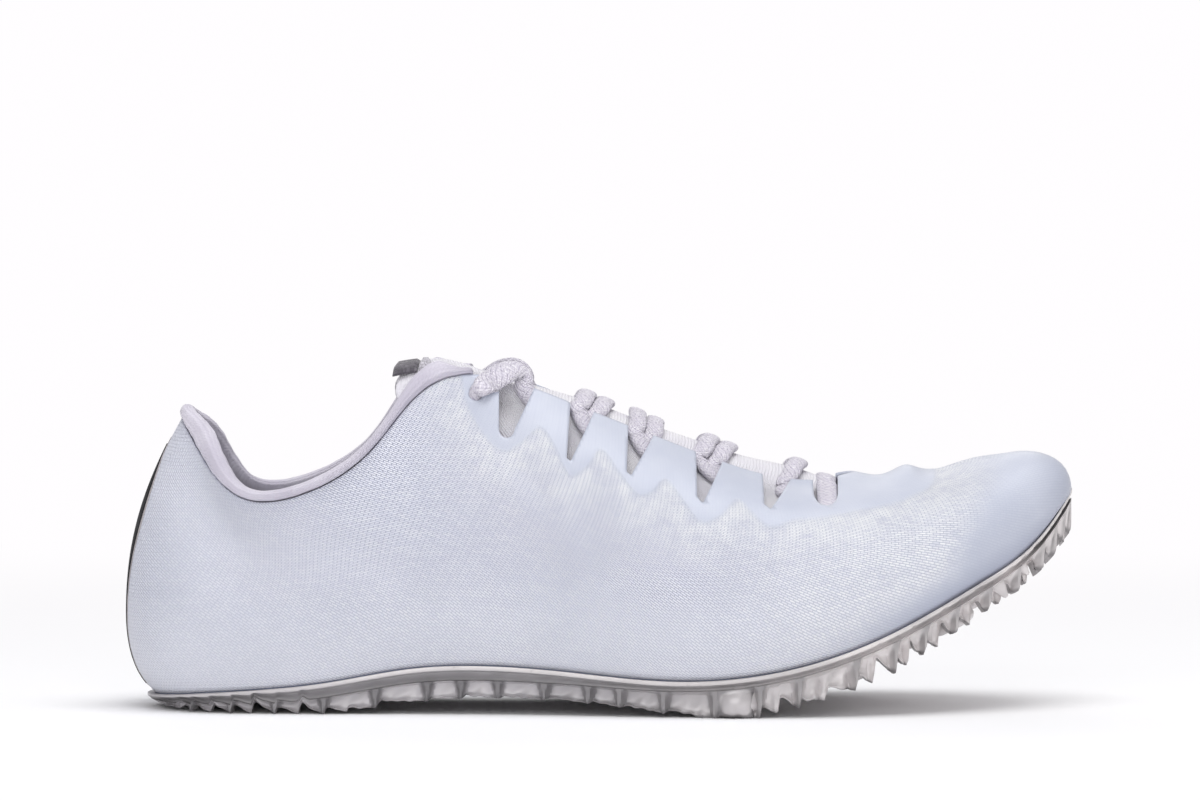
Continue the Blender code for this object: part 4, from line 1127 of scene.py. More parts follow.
# %% The tongue's lower face and its map
MIDDLE_COLUMN, MIDDLE_ROW = 55, 30
EDGE_MM = 2
square = grid_normals(tongue_face)
downwards = np.sign(-square[50, MIDDLE_ROW, 2])
under = tongue_face + square * TONGUE_THICKNESS * downwards
tongue_rings = np.concatenate([tongue_face, under[:, ::-1]], axis=1)
cross_mm = run_along(tongue_face[MIDDLE_COLUMN]) / MM
cross_mm = np.r_[cross_mm, cross_mm[-1] + EDGE_MM + cross_mm, 2 * cross_mm[-1] + 2 * EDGE_MM]
tongue_uv = uv_grid(run_along(tongue_face[:, MIDDLE_ROW]) / MM, cross_mm)
tongue_knit = ribbed_cloth("tongue_rib", linear(234, 232, 240), linear(253, 252, 255), 0.95, 0, 0.00022)
tongue = tube_piece("tongue_sheet", tongue_rings, tongue_knit, tongue_uv, 60)
lay_on(tongue, "tongue")

# %% [markdown]
# A dark woven tape is folded over the tongue's end, with a lighter edge sewn ahead of it. Both are
# short strips on one smooth hump, which is fitted to the tongue under them by least squares, so
# that the small waves of the knit don't show through the tape.

# %% Finish of the tape
TAPE_PITCH = 0.7


def woven_tape(name, dark, light):
    """Woven tape: short stitches of warp over weft, with painted shade in the gaps between."""
    finish, tree, shader = new_finish(name, {"Roughness": 0.8, "Sheen Weight": 0.3})
    between, shade = stitches(tree, cloth_map(tree), 0, TAPE_PITCH * 1.6, TAPE_PITCH, 0.12)
    tone = blended(tree, shade, dark, light)
    # Painted shade in the gaps between stitches.
    tone = blended(tree, times(tree, between, 0.6), tone, darker(dark, 0.4))
    normal = relief(tree, less(tree, 1.0, between), 0.0002)
    fill(tree, shader, {"Base Color": tone, "Normal": normal})
    return finish


tab_dark = woven_tape("tab_tape", linear(88, 84, 92), linear(128, 124, 132))
tab_light = woven_tape("tab_edge_tape", linear(190, 187, 196), linear(214, 211, 220))
print("finishes", tab_dark.name, tab_light.name)

# %% Tongue tab
TAB_MIDDLE, HUMP_UNIT = -0.055, 0.01
TAPE_COLUMNS, TAPE_ROWS = 9, 33
TAPE_BOW = 0.0012
TAPE_EDGE, TAPE_EDGE_SHARE = 0.0007, 0.45
near = tongue_face[:24, 12:49].reshape(-1, 3)
near = near[np.abs(near[:, 1]) < 0.0125]


def hump(x, y):
    """The terms of a smooth hump: 1, x, x squared, y squared, y to the fourth and x y squared."""
    x, y = (x - TAB_MIDDLE) / HUMP_UNIT, y / HUMP_UNIT
    return np.stack([np.ones_like(x), x, x**2, y**2, y**4, x * y**2], -1)


hump_terms = np.linalg.lstsq(hump(near[:, 0], near[:, 1]), near[:, 2], rcond=None)[0]


def tape(name, finish, back, front, wide, lift, thickness):
    """A strip of tape on the fitted hump, bowed back at its ends, thinner at its edges, with a lower face."""
    places = uv_grid(np.linspace(back, front, TAPE_COLUMNS), np.linspace(-wide, wide, TAPE_ROWS))
    x, y = places[..., 0], places[..., 1]
    x = x - TAPE_BOW * (y / wide) ** 2
    patch = np.stack([x, y, hump(x, y) @ hump_terms], -1)
    square = grid_normals(patch)
    square = square * np.sign(square[..., 2].mean())
    edge = np.minimum(np.minimum(x - x.min(0), x.max(0) - x), wide - np.abs(y))
    full = thickness * (TAPE_EDGE_SHARE + (1 - TAPE_EDGE_SHARE) * ease(edge, 0.0, TAPE_EDGE))
    top, low = patch + square * (lift + full)[..., None], patch + square * lift
    rings = np.concatenate([top, low[:, ::-1]], axis=1)
    u = np.linspace(0, (front - back) / MM, TAPE_COLUMNS)
    v = np.linspace(0, 4 * wide / MM, rings.shape[1] + 1)
    return tube_piece(name, rings, finish, uv_grid(u, v), 40)


tab = tape("tongue_tab_tape", tab_dark, -0.0592, -0.0522, wide=0.0108, lift=0.0003, thickness=0.0013)
tab_edge = tape("tongue_tab_edge", tab_light, -0.0520, -0.0494, wide=0.0112, lift=0.0003, thickness=0.0015)
lay_on(tab, "tongue_tab")
lay_on(tab_edge)

# %% [markdown]
# ## The sockliner
# A thin foam sockliner lies on the plate inside the upper. Its edge is rounded and its top is
# a little dished, and a woven cloth covers it.

# %% Sockliner
LINER_COLUMNS, LINER_ROWS = 140, 33
LINER_THICKNESS, LINER_ROUND, LINER_DISH = 0.0030, 0.0010, 0.0004
LINER_LONG_MM, LINER_ROUND_MM = 270, 160
shares = np.linspace(0, 1, LINER_COLUMNS)
rim_lines = []
for side in (-1, 1):
    foot, outward = feather(shares, side)
    rim_lines.append(foot[:, :2] - outward * (UPPER_WALL + 0.0009))
t = np.linspace(0, 1, LINER_ROWS)[None, :, None]
plan = rim_lines[0][:, None] * (1 - t) + rim_lines[1][:, None] * t
low = rim_height(plan[..., 0]) + GAP
edge_in = np.minimum(t[..., 0], 1 - t[..., 0]) * np.linalg.norm(rim_lines[0] - rim_lines[1], axis=1)[:, None]
rounded = LINER_ROUND * (1 - ease(edge_in, 0.0, 0.0015))
dish = LINER_THICKNESS - rounded - LINER_DISH * ease(edge_in, 0.004, 0.016)
top = np.concatenate([plan, (low + dish)[..., None]], -1)
base = np.concatenate([plan, low[..., None]], -1)
liner_rings = np.concatenate([top, base[:, ::-1]], axis=1)
across_mm = np.linspace(0, LINER_ROUND_MM, 2 * LINER_ROWS + 1)
liner_uv = uv_grid(np.linspace(0, LINER_LONG_MM, LINER_COLUMNS), across_mm)
liner_cloth = ribbed_cloth("sockliner_cloth", linear(172, 172, 186), linear(204, 204, 216), 1.6, 0)
liner = tube_piece("sockliner", liner_rings, liner_cloth, liner_uv, 60)
lay_on(merged(liner), "insole")

# %% [markdown]
# ## The laces
# One flat braided lace crosses over the tongue from notch to notch and dives under the flap in
# front of each. At the top it comes out of the punched eyelet, loops over the tongue's shoulder and
# goes down under the first flap. A rounded oval is carried along each path, and crossing yarns are
# raised on it. A path is a list of places, each a point and the way its flat side faces.

# %% Places on and over the upper
LACE_WIDTH = 0.0053
LACE_THICKNESS = 0.0025
LACE_CLEARANCE = 0.0003
WALL_ROWS = 60
SHARE_STEP = 0.004
SLOPE_STEP = 0.002


def over_tongue(x, y, clear):
    """Points at plan places, a clear distance above the tongue, and the tongue's upward direction."""
    lines = tongue_face[:, 8:-8]
    along, height = (
        np.array([[np.interp(b, line[:, 1], line[:, k]) for line in lines] for b in y]) for k in (0, 2)
    )
    z, ahead = (
        np.array([np.interp(a + step, xs, zs) for a, xs, zs in zip(x, along, height)])
        for step in (0, SLOPE_STEP)
    )
    up = unit(np.stack([(z - ahead) / SLOPE_STEP, np.zeros(len(x)), np.ones(len(x))], -1))
    return np.stack([x, y, z], -1) + up * clear, up


def on_wall(x, depth, side, out):
    """A point of the wall below the edge at x: down the section by depth, then square out."""
    share = np.interp(x, throat_x, side_shares[from_instep])
    behind, line, ahead = meridians(share + np.array([-SHARE_STEP, 0, SHARE_STEP]), side, WALL_ROWS)
    below = run_along(line[::-1])
    at = [np.interp(max(depth, 0), below, line[::-1, k]) for k in range(3)]
    row = WALL_ROWS - 1 - int(np.clip(np.searchsorted(below, max(depth, 0)), 1, WALL_ROWS - 3))
    square = unit(np.cross(ahead[row] - behind[row], line[row + 1] - line[row - 1]))
    square = square * np.sign(square[1] * side)
    above = unit(line[-1] - line[-3]) * max(-depth, 0)
    return np.array(at) + above + square * out, square


def on_face(x, z, side, out):
    """A point of the wall at a place in side view, set square out: a mean of the nearest grid points."""
    grid = meridians(side_shares, side, WALL_ROWS)
    square = grid_normals(grid).reshape(-1, 3)
    square = square * np.sign(square[:, 1:2] * side)
    spots = grid.reshape(-1, 3)
    far = (spots[:, 0] - x) ** 2 + (spots[:, 2] - z) ** 2
    near = np.argsort(far)[:8]
    weight = 1 / (far[near] + 1e-7)
    normal = unit((square[near] * weight[:, None]).sum(0))
    return np.array([x, (spots[near, 1] * weight).sum() / weight.sum(), z]) + normal * out, normal


def dive(x, side, steps):
    """The lace from the edge at x down into a notch and on under the flap ahead, to its hidden end.

    Each step is how far ahead, how far below the edge and how far out it lies, in millimetres.
    """
    return [on_wall(x + ahead * MM, depth * MM, side, out * MM) for ahead, depth, out in steps]


# Where a bar lies in its notch: at the rear, at the front, or slanting forwards.
REAR_DIVE = ((2.9, -2.2, -1.7), (1.9, 0.6, -2.4), (0.9, 3.8, -2.8), (0.4, 7.0, -3.1), (0.6, 10.0, -3.4))
FRONT_DIVE = ((8.2, -2.4, -2.2), (7.1, 0.6, -3.1), (6.2, 3.6, -3.4), (5.9, 6.6, -3.5), (6.0, 9.0, -3.5))
SLANT_DIVE = ((8.6, -1.8, -1.9), (6.6, 0.8, -2.4), (4.4, 3.0, -2.8), (2.2, 5.4, -3.2), (0.6, 8.0, -3.4))


def over_and_down(first, last, crown, lift):
    """Places of one bar: out of one notch, over the tongue's crown at one x, and into the far notch."""
    a, b = first[0][0], last[0][0]
    shoulders = [(0.55 * crown + 0.45 * end[0], 0.62 * end[1]) for end in (a, b)]
    corners = np.array([a[:2], shoulders[0], (crown, 0.0), shoulders[1], b[:2]])
    line = rounded_path(corners, 8)
    plan = spaced(np.c_[line, np.zeros(len(line))], np.linspace(0, 1, 11))[1:-1]
    middle, up = over_tongue(plan[:, 0], plan[:, 1], LACE_CLEARANCE + LACE_THICKNESS / 2 + lift)
    return first[::-1] + list(zip(middle, up)) + last


print("places on the upper ready")

# %% Braid carried along a path
PATH_STEPS = 12
BRAID_STEP = 0.00045
BRAID_SIDES, BRAID_ROUND_MM = 40, 14
YARN_LONG, YARNS_ROUND = 0.0017, 8
YARN_RAISED, YARN_MEAN = 0.00028, 0.6
BRAID_WIDE_SQUARE, BRAID_TALL_SQUARE = 0.8, 0.9


def braid_rings(places, widths):
    """Rings along the smooth line through the places, the way run, and how high the yarn lies.

    A ring is a squarish oval. Yarns wind both ways round it as far as they run along, and each
    swells as the size of a sine where it lies over the other.
    """
    points, faces = (np.array(part) for part in zip(*places))
    centre, up = rounded_path(points, PATH_STEPS), unit(rounded_path(faces, PATH_STEPS))
    at_places = PATH_STEPS * np.arange(len(points))
    widths = np.interp(np.arange(len(centre)), at_places, np.broadcast_to(widths, len(points)))
    run = run_along(centre)
    steps = np.linspace(0, run[-1], int(run[-1] / BRAID_STEP))
    centre, up = (
        np.stack([np.interp(steps, run, part[:, k]) for k in range(3)], -1) for part in (centre, up)
    )
    widths = np.interp(steps, run, widths)[:, None]
    along = unit(np.gradient(centre, axis=0))
    out = unit(np.cross(along, unit(up)))
    up = unit(np.cross(out, along))
    turn = full_turn(BRAID_SIDES)
    a, b = (steps[:, None] / YARN_LONG + way * YARNS_ROUND * turn / (2 * math.pi) for way in (1, -1))
    over = (np.floor(a) + np.floor(b)) % 2 < 1
    high = np.where(over, np.abs(np.sin(math.pi * a)), np.abs(np.sin(math.pi * b)))
    yarn = YARN_RAISED * (high - YARN_MEAN)
    wide = (LACE_WIDTH / 2 * widths + yarn) * blunt(np.cos(turn), BRAID_WIDE_SQUARE)
    tall = (LACE_THICKNESS / 2 + yarn) * blunt(np.sin(turn), BRAID_TALL_SQUARE)
    return centre[:, None] + wide[..., None] * out[:, None] + tall[..., None] * up[:, None], steps, high


def laced_piece(name, paths, finish):
    """One piece from the braid along every path."""
    points, polygons, corner_uv, raised = [], [], [], []
    first = 0
    for places, widths in paths:
        rings, steps, high = braid_rings(places, widths)
        uv = uv_grid(steps / MM, np.linspace(0, BRAID_ROUND_MM, BRAID_SIDES + 1))
        faces, face_uv = tube_faces(rings, uv, first)
        points.append(rings.reshape(-1, 3))
        polygons += faces
        corner_uv += face_uv
        raised.append(high.ravel())
        first += high.size
    lace = build(name, np.concatenate(points), polygons, corner_uv, [finish])
    mark(lace, "raised", np.concatenate(raised))
    return lace


# %% Finish of the lace
def lace_finish():
    """Braided yarn: two slanted rows of stitches that cross, with painted shade in the hollows and where a
    yarn lies under the other.
    """
    sockets = {"Roughness": 0.62, "Sheen Weight": 0.4, "Sheen Roughness": 0.5}
    finish, tree, shader = new_finish("braided_lace", sockets)
    right, shade = stitches(tree, cloth_map(tree), 50, 1.5, 0.62, 0.16)
    left = stitches(tree, cloth_map(tree), -50, 1.5, 0.62, 0.16)[0]
    hollow = times(tree, maths(tree, "ADD", right, left), 0.5)
    tone = blended(tree, shade, linear(228, 223, 236), linear(244, 241, 248))
    # Painted shade in the hollows between stitches.
    tone = blended(tree, times(tree, hollow, 0.35), tone, linear(178, 170, 196))
    # Painted shade where a yarn lies low, under the other.
    sunk = graded(tree, attribute(tree, "raised"), 0.10, 0.80, 0.55, 0.0)
    tone = blended(tree, sunk, tone, linear(168, 160, 184))
    normal = relief(tree, less(tree, 1.0, hollow), 0.00025)
    fill(tree, shader, {"Base Color": tone, "Normal": normal})
    return finish


# %% Bars over the tongue and the strap in front
# Each bar: the notch, whether it lies at its rear or front, the crown's x past the notch in
# millimetres, and how far it is lifted over the other.
LaceBar = namedtuple("LaceBar", "notch rear ahead lift")
LACE_BARS = (
    LaceBar(1, False, 8.6, 0.0), LaceBar(1, True, 3.2, 0.4),
    LaceBar(2, False, 6.4, 0.0), LaceBar(2, True, 1.0, 0.4),
    LaceBar(3, False, 9.6, 0.0), LaceBar(3, True, 4.2, 0.4),
    LaceBar(4, True, 10.5, 0.3),
)
# The strap: how far its stretches lie below the edge and how far out, in millimetres.
STRAP_DROPS = ((0.4, -1.4), (3.2, -1.6), (6.0, -1.8), (8.8, -2.4), (11.5, -3.4))
STRAP_AHEAD, STRAP_SUNK = 0.55 * MM, 1.5 * MM
STRAP_WIDTH = 1.12
SLANTED_NOTCH = 4
lace_paths = []
for bar in LACE_BARS:
    back = LENGTH * NOTCHES[bar.notch].top_back
    steps = SLANT_DIVE if bar.notch == SLANTED_NOTCH else REAR_DIVE if bar.rear else FRONT_DIVE
    ends = [dive(back, side, steps) for side in (-1, 1)]
    lace_paths.append((over_and_down(*ends, back + bar.ahead * MM, bar.lift * MM), 1.0))
strap_x = LENGTH * (NOTCHES[5].top_back + NOTCHES[5].top_front) / 2 + STRAP_AHEAD
strap_z = float(np.interp(strap_x, throat_x, throat_z))
ends = [
    [on_face(strap_x, strap_z - fall * MM, side, out * MM) for fall, out in STRAP_DROPS] for side in (-1, 1)
]
lace_paths.append((over_and_down(*ends, strap_x, -STRAP_SUNK), STRAP_WIDTH))
print(len(lace_paths), "stretches over the tongue")

# %% Free loops and the whole lace
# The free loop at the top: x, distance from the middle and height in metres, and the direction its
# flat side faces.
TOP_LOOP = (
    ((-0.0325, 0.0166, 0.0950), (-0.30, 0.90, 0.30)),
    ((-0.0287, 0.0158, 0.0974), (-0.15, 0.90, 0.40)),
    ((-0.0252, 0.0138, 0.0986), (0.10, 0.70, 0.70)),
    ((-0.0225, 0.0122, 0.0970), (0.60, 0.60, 0.50)),
    ((-0.0222, 0.0128, 0.0938), (0.45, 0.85, 0.20)),
    ((-0.0208, 0.0134, 0.0910), (0.20, 0.95, 0.20)),
)
LOOP_WIDTHS = (0.6, 0.75, 1.15, 1.42, 1.42, 1.32, 1.20, 1.10, 1.05, 1.0, 1.0, 1.0)
# The loop's start from the eyelet, as ahead, up and out, and its end under the flap, as for a dive.
LOOP_START = ((-1.2, -3.0, -3.2), (0.0, 0.0, -0.1), (1.6, 1.0, 1.7))
LOOP_STOP = ((-0.2, 4.4, -3.2), (1.8, 7.0, -3.4), (4.4, 8.6, -3.4))


def top_loop(side):
    """Places out of the eyelet, over the tongue's shoulder, round, and down under the first flap."""
    mirror = np.array([1, side, 1])
    start = [
        on_face(EYELET[0] + ahead * MM, EYELET[1] + rise * MM, side, out * MM)
        for ahead, rise, out in LOOP_START
    ]
    free = [(np.array(place) * mirror, unit(np.array(faces) * mirror)) for place, faces in TOP_LOOP]
    return start + free + dive(LENGTH * NOTCHES[0].top_front, side, LOOP_STOP)


lace_paths += [(top_loop(side), LOOP_WIDTHS) for side in (-1, 1)]
laces = laced_piece("lace_braid", lace_paths, lace_finish())
lay_on(laces, "laces")

# %% [markdown]
# ## The spike plate
# The plate is one stiff moulding. A thin lip runs round its rim, painted with a highlight, and a hollow
# band under it is painted in the lip's shade; below that the wall is cut into windows between upright
# ribs. Each rib ends in a tooth, steep in front and sloped behind. The wall is a profile carried round
# the rim, and the ribs, windows and teeth are functions of the way round and the way down.

# %% Ribs and teeth round the rim
# Rib places along the outer side, in shares of the length from heel to toe.
RIBS = (
    -0.462, -0.430, -0.387, -0.340, -0.289, -0.235, -0.181, -0.146, -0.108, -0.060, -0.0145, 0.018,
    0.064, 0.1175, 0.165, 0.206, 0.2658, 0.3074, 0.3389, 0.3725, 0.4076, 0.440, 0.466,
)
# Ribs round the toe's tip, in shares of the half perimeter, where they clear the last of the others.
TOE_RIBS = (0.935, 0.952, 0.969, 0.986)
RIB_ROOM = 0.008


def rib_shares(shift):
    """The ribs of one side as shares of the half perimeter, from the middle of the heel to the toe's."""
    at = (np.array(RIBS) * LENGTH + shift - PLATE_HEEL_X) / PLATE_LENGTH
    along = np.interp(at, run_at, run)
    toe = [share for share in TOE_RIBS if share > along[-1] + RIB_ROOM]
    return np.array([0.0, *along, *toe, 1.0])


def rib_phase(share, ribs):
    """For each share, the way through its bay from rib to rib, the bay's width in metres and its number."""
    bay = np.clip(np.searchsorted(ribs, share, side="right") - 1, 0, len(ribs) - 2)
    width = ribs[bay + 1] - ribs[bay]
    return (share - ribs[bay]) / width, width * HALF_PERIMETER, bay


print("ribs on the outer side:", len(rib_shares(0.0)))

# %% Rows of the plate's wall
LIP = 0.0013
BAND_END, BAND_NARROWS = 0.0042, 0.0013
BAND_ROWS, WALL_STEPS = 6, 15
PLATE_COLUMNS = 560
WEB = 0.0028
SIDE_SHIFT = 0.0022
DOME_X, DOME_RADIUS, DOME_PROUD = 0.0385, 0.0054, 0.0013
DOME_MIDDLE, DOME_HALF = 0.48, 0.54
# Two teeth to a bay behind the first share of the length and ahead of the second.
PAIRED_BEHIND, PAIRED_AHEAD = 0.22, 0.66
TOOTH_RISE, SECOND_TOOTH = 0.12, 0.72
WINDOW, RIB_TOP, RIB_NARROWS = 0.0021, 0.0027, 0.0017
FACET = 0.0061
SLOT = 0.0011


def plate_rings(share, side):
    """The wall's rows from the rim's inner top edge round the lip, down band and wall, and in below.

    The wall stands in by a window's depth, less by a rib's: a rib is a ramp up and down across it,
    wider at its top. The lower edge falls along each bay to the next tooth and jumps back up in
    front of it. Round the heel the wall runs in as a wedge, further the lower it lies. On the outer
    side an oval dome, one of the bosses, bulges through the wall. Each row also gets a shade of painted
    light: a painted highlight on the lip and windows, painted shade on band, rib sides, slots, wedge and
    underside.
    """
    ribs = rib_shares(0.0 if side < 0 else SIDE_SHIFT)
    point, outward = rim(share, side)
    height = rim_height(point[:, 0])
    at = np.clip((point[:, 0] - PLATE_HEEL_X) / PLATE_LENGTH, 0, 1)
    phase, width, bay = rib_phase(share, ribs)
    dome_width = np.sqrt(np.clip(1 - ((point[:, 0] - DOME_X) / DOME_RADIUS) ** 2, 0, 1)) * (side < 0)
    ragged = 1 + 0.28 * np.sin(bay * 2.7 + 1.3 * side) + 0.10 * np.sin(share * 410)
    part = np.where((at > PAIRED_AHEAD) | (at < PAIRED_BEHIND), (2 * phase**0.9) % 1, phase)
    saw = np.clip(part / TOOTH_RISE, 0, 1) * (1 - part) / (1 - TOOTH_RISE)
    saw = saw * np.where(part < phase, 1.0, SECOND_TOOTH) * ease(at, 0.025, 0.050)
    tooth = LUG_DEPTH * (rocker_tooth(at) * 1.12 * ragged * saw + 0.012 * np.sin(share * 530) * (saw > 0.2))
    tooth = np.minimum(tooth * (1 + 0.7 * ease(at, 0.72, 0.86)), LUG_DEPTH * rocker_depth(at) - 0.0048)
    deep = LUG_DEPTH * rocker_depth(at) - np.maximum(tooth, 0)
    heel_cut = 0.0030 * np.maximum(saw, 0) * ragged * (1 - ease(at, 0.16, 0.26))
    drop = height - np.maximum(height - deep, heel_cut)
    wedge = 1 - ease(share, 0.018, 0.085)
    amidships = ease(at, 0.36, 0.46) * (1 - ease(at, 0.62, 0.70))
    near_rib = np.minimum(phase, 1 - phase) * width
    tip_near = np.minimum(1, np.minimum(share, 1 - share) / 0.05)
    lip = np.minimum(LIP, 0.2 * drop)
    end = np.minimum(BAND_END - BAND_NARROWS * ease(at, 0.36, 0.56), 0.6 * drop)
    faceted = 0.0008 * ease(at, 0.60, 0.72) * (1 - 0.6 * ease(at, 0.80, 0.90))
    slotted = np.clip(1 - np.abs(part - 0.80) / 0.16, 0, 1) * ease(at, 0.64, 0.72)
    beside = (1 - ease(near_rib, 0.0010, 0.0034)) * (1 - ease(at, 0.60, 0.72))
    rows, shades = [], []
    deepest = np.zeros(share.shape)

    def row(inset, below, shade):
        """One row of the wall: set in from the rim and down from its height, with painted light or shade.

        The wedge goes by the deepest row so far, so that it also runs on inwards under the heel.
        """
        nonlocal deepest
        deepest = np.maximum(deepest, below)
        # Painted shade darkens the heel's wedge, which faces down.
        shades.append(np.broadcast_to(shade, share.shape) * (1 - 0.4 * wedge) - 0.25 * wedge)
        inset = np.broadcast_to(inset, share.shape) * (0.35 + 0.65 * tip_near) * (1 - 0.7 * wedge)
        inset = inset + 1.25 * wedge * np.maximum(deepest - 0.0009, 0)
        plan = point - outward * inset[:, None]
        rows.append(np.c_[plan, np.maximum(rim_height(plan[:, 0]) - below, 0)])

    # The lip's rows carry a painted highlight, stronger towards the toe.
    row(0.0009, -0.0001, 0.2 + 0.4 * at)
    row(0.0003, -0.00004, 0.35 + 0.65 * at)
    row(0.00004, 0.18 * lip, 0.35 + 0.65 * at)
    row(0.0, 0.5 * lip, 0.35 + 0.65 * at)
    row(0.00008, 0.85 * lip, 0.2 + 0.5 * at)
    row(0.0004, lip, 0.0)
    # The band: painted shade, darker lower down and towards the heel, and darkest at the toe's end.
    for t in np.linspace(0, 1, BAND_ROWS):
        inset = 0.0006 + 0.0014 * math.sin(math.pi * (0.15 + 0.5 * t))
        band_shade = -(0.50 + 0.95 * t) * (1 - 0.86 * at) - 0.8 * ease(at, 0.93, 0.985)
        row(inset, lip + (end - lip) * (0.12 + 0.82 * t), band_shade)
    for t in np.linspace(0, 1, WALL_STEPS):
        foot = max(0.0, (t - 0.82) / 0.18)
        rib = np.clip(1.5 * (1 - near_rib / (RIB_TOP - RIB_NARROWS * t)), 0, 1)
        window = WINDOW * ease(t, 0.0, 0.14) * (1 - 0.45 * ease(t, 0.80, 1.0))
        window = window + 0.0006 * math.sin(math.pi * t)
        fold = (share * HALF_PERIMETER / FACET + 0.7 * t + 0.37 * bay) % 1
        wave = faceted * (np.abs(fold - 0.5) - 0.25) + 0.0002 * np.sin(share * 290 + 5 * t)
        inset = 0.0007 + (window + wave) * (1 - rib) - 0.0002 * rib + 0.0008 * foot**2
        slot = slotted * ease(t, 0.10, 0.45)
        inset = inset + SLOT * slot
        dome = dome_width * math.sqrt(max(0.0, 1 - ((t - DOME_MIDDLE) / DOME_HALF) ** 2))
        inset = inset - (inset + DOME_PROUD) * dome
        # Painted shade on the rib sides, the lowest rows, the slots, beside the ribs, along the arch and
        # round the dome's edge; the windows between the ribs get a painted highlight.
        rim_shade = 1.1 * np.clip(1 - abs(dome - 0.30) / 0.30, 0, 1) * (dome > 0)
        painted_darkness = (1.9 - 1.4 * at) * (0.9 - 0.3 * t) * rib * (dome == 0) + 0.8 * foot**2 + 0.45 * slot
        painted_darkness = painted_darkness + (0.45 * beside + 0.5 * amidships) * (1 - rib) + rim_shade
        row(inset, end + (drop - end) * t, (0.10 + 0.25 * at) * (1 - rib) * (1 - foot) - painted_darkness)
    # The rows under the wall are painted in shade.
    row(0.0030, drop, -0.6)
    row(0.0046, drop - 0.0002 * np.minimum(drop, 0.004) / 0.004, -0.6)
    row(0.0056, 0.55 * drop + 0.45 * np.minimum(WEB, 0.7 * drop), -0.8)
    row(0.0066, np.minimum(WEB, 0.70 * drop), -0.5)
    return np.stack(rows, 1), np.stack(shades, 1)


# Even columns all round, with a few more where the rim turns round heel and toe.
close = (1 - np.cos(np.linspace(0, math.pi, 161))) / 2
share = np.sort(np.concatenate([np.linspace(0, 1, PLATE_COLUMNS + 1), close[1:14], close[-14:-1]]))
(outer, outer_shade), (inner, inner_shade) = plate_rings(share, -1), plate_rings(share, 1)
print("plate wall", outer.shape)

# %% Underside and closed section
CELL, CELL_SLANT = 0.0125, 0.75
RIDGE_HEIGHT, RIDGE_SHARE = 0.0011, 0.22
WEB_ROWS, DECK_ROWS = 62, 8
WEB_EDGE, LEAST_HEIGHT = 0.004, 0.0004


def tread(x, y):
    """Relief of the underside: two families of slanted ridges that make lozenge cells."""
    u, v = (x + CELL_SLANT * y) / CELL, (x - CELL_SLANT * y) / CELL
    ridge = np.maximum(*(1 - np.abs(np.sin(math.pi * way)) / RIDGE_SHARE for way in (u, v)))
    return RIDGE_HEIGHT * np.clip(ridge, 0, 1) ** 0.7


def between_sides(a, b, count):
    """Lines straight across from the points a to the points b."""
    t = np.linspace(0, 1, count)[None, :, None]
    return a[:, None] * (1 - t) + b[:, None] * t


across = np.linspace(0, 1, WEB_ROWS)
web_width = np.linalg.norm(outer[:, -1] - inner[:, -1], axis=1)
web = between_sides(outer[:, -1], inner[:, -1], WEB_ROWS)
inner_part = ease(np.minimum(across, 1 - across)[None] * web_width[:, None], 0.0, WEB_EDGE)
floor_of_web = rim_height(web[..., 0]) - np.minimum(WEB, 0.5 * rim_height(web[..., 0]))
web[..., 2] = web[..., 2] * (1 - inner_part) + (floor_of_web - tread(web[..., 0], web[..., 1])) * inner_part
web[..., 2] = np.maximum(web[..., 2], LEAST_HEIGHT)
deck = between_sides(inner[:, 0], outer[:, 0], DECK_ROWS)
deck[:, 1:-1, 2] = rim_height(deck[:, 1:-1, 0])
section_loop = np.concatenate([outer, web[:, 1:-1], inner[:, ::-1], deck[:, 1:-1]], axis=1)
no_shade = np.zeros((len(share), WEB_ROWS - 2))
plate_shade = [outer_shade, no_shade, inner_shade[:, ::-1], no_shade[:, : DECK_ROWS - 2]]
print("plate section", section_loop.shape)

# %% Finish of the plate
SILVER_BACK, SILVER_FRONT = linear(190, 187, 190), linear(234, 229, 229)
# EDGE_LIGHT is a painted highlight and DEEP_SHADE painted shade, both laid on by the shade mark.
EDGE_LIGHT, DEEP_SHADE = linear(240, 235, 233), linear(66, 64, 67)
FLOW_SHADE, SPOT_SHADE = linear(158, 155, 157), linear(104, 102, 104)


def plate_finish():
    """Satin moulded plastic with a metallic look: soft flow marks, fine grain, dull scuffed spots, and
    painted highlight and shade from the shade mark.
    """
    sockets = {"Metallic": 0.30, "Coat Weight": 0.25, "Coat Roughness": 0.22}
    finish, tree, shader = new_finish("silver_plate", sockets)
    place = object_place(tree)
    flow_map = node(tree, "Mapping", {"Vector": place, "Scale": (14, 60, 60)}).outputs[0]
    flow = noise(tree, flow_map, 1.0, 4.0, 0.6)
    spots = noise(tree, place, 170.0, 4.0, 0.65)
    front = graded(tree, length_place(tree), -0.02, 0.075)
    shade = attribute(tree, "shade")
    tone = blended(tree, front, SILVER_BACK, SILVER_FRONT)
    # Painted highlight where the shade mark is above 0, painted shade where it is below.
    tone = blended(tree, graded(tree, shade, 0.0, 1.0), tone, EDGE_LIGHT)
    tone = blended(tree, graded(tree, shade, -1.0, 0.0, 0.75, 0.0), tone, DEEP_SHADE)
    tone = blended(tree, graded(tree, flow, 0.3, 0.7, 0.0, 0.5), tone, FLOW_SHADE)
    tone = blended(tree, graded(tree, spots, 0.60, 0.80, 0.0, 0.35), tone, SPOT_SHADE)
    rough = graded(tree, spots, 0.3, 0.7, 0.30, 0.48)
    height = maths(tree, "ADD", times(tree, noise(tree, place, 2400.0), 0.25), flow)
    normal = relief(tree, height, 0.00012, 0.8)
    fill(tree, shader, {"Base Color": tone, "Roughness": rough, "Normal": normal})
    return finish


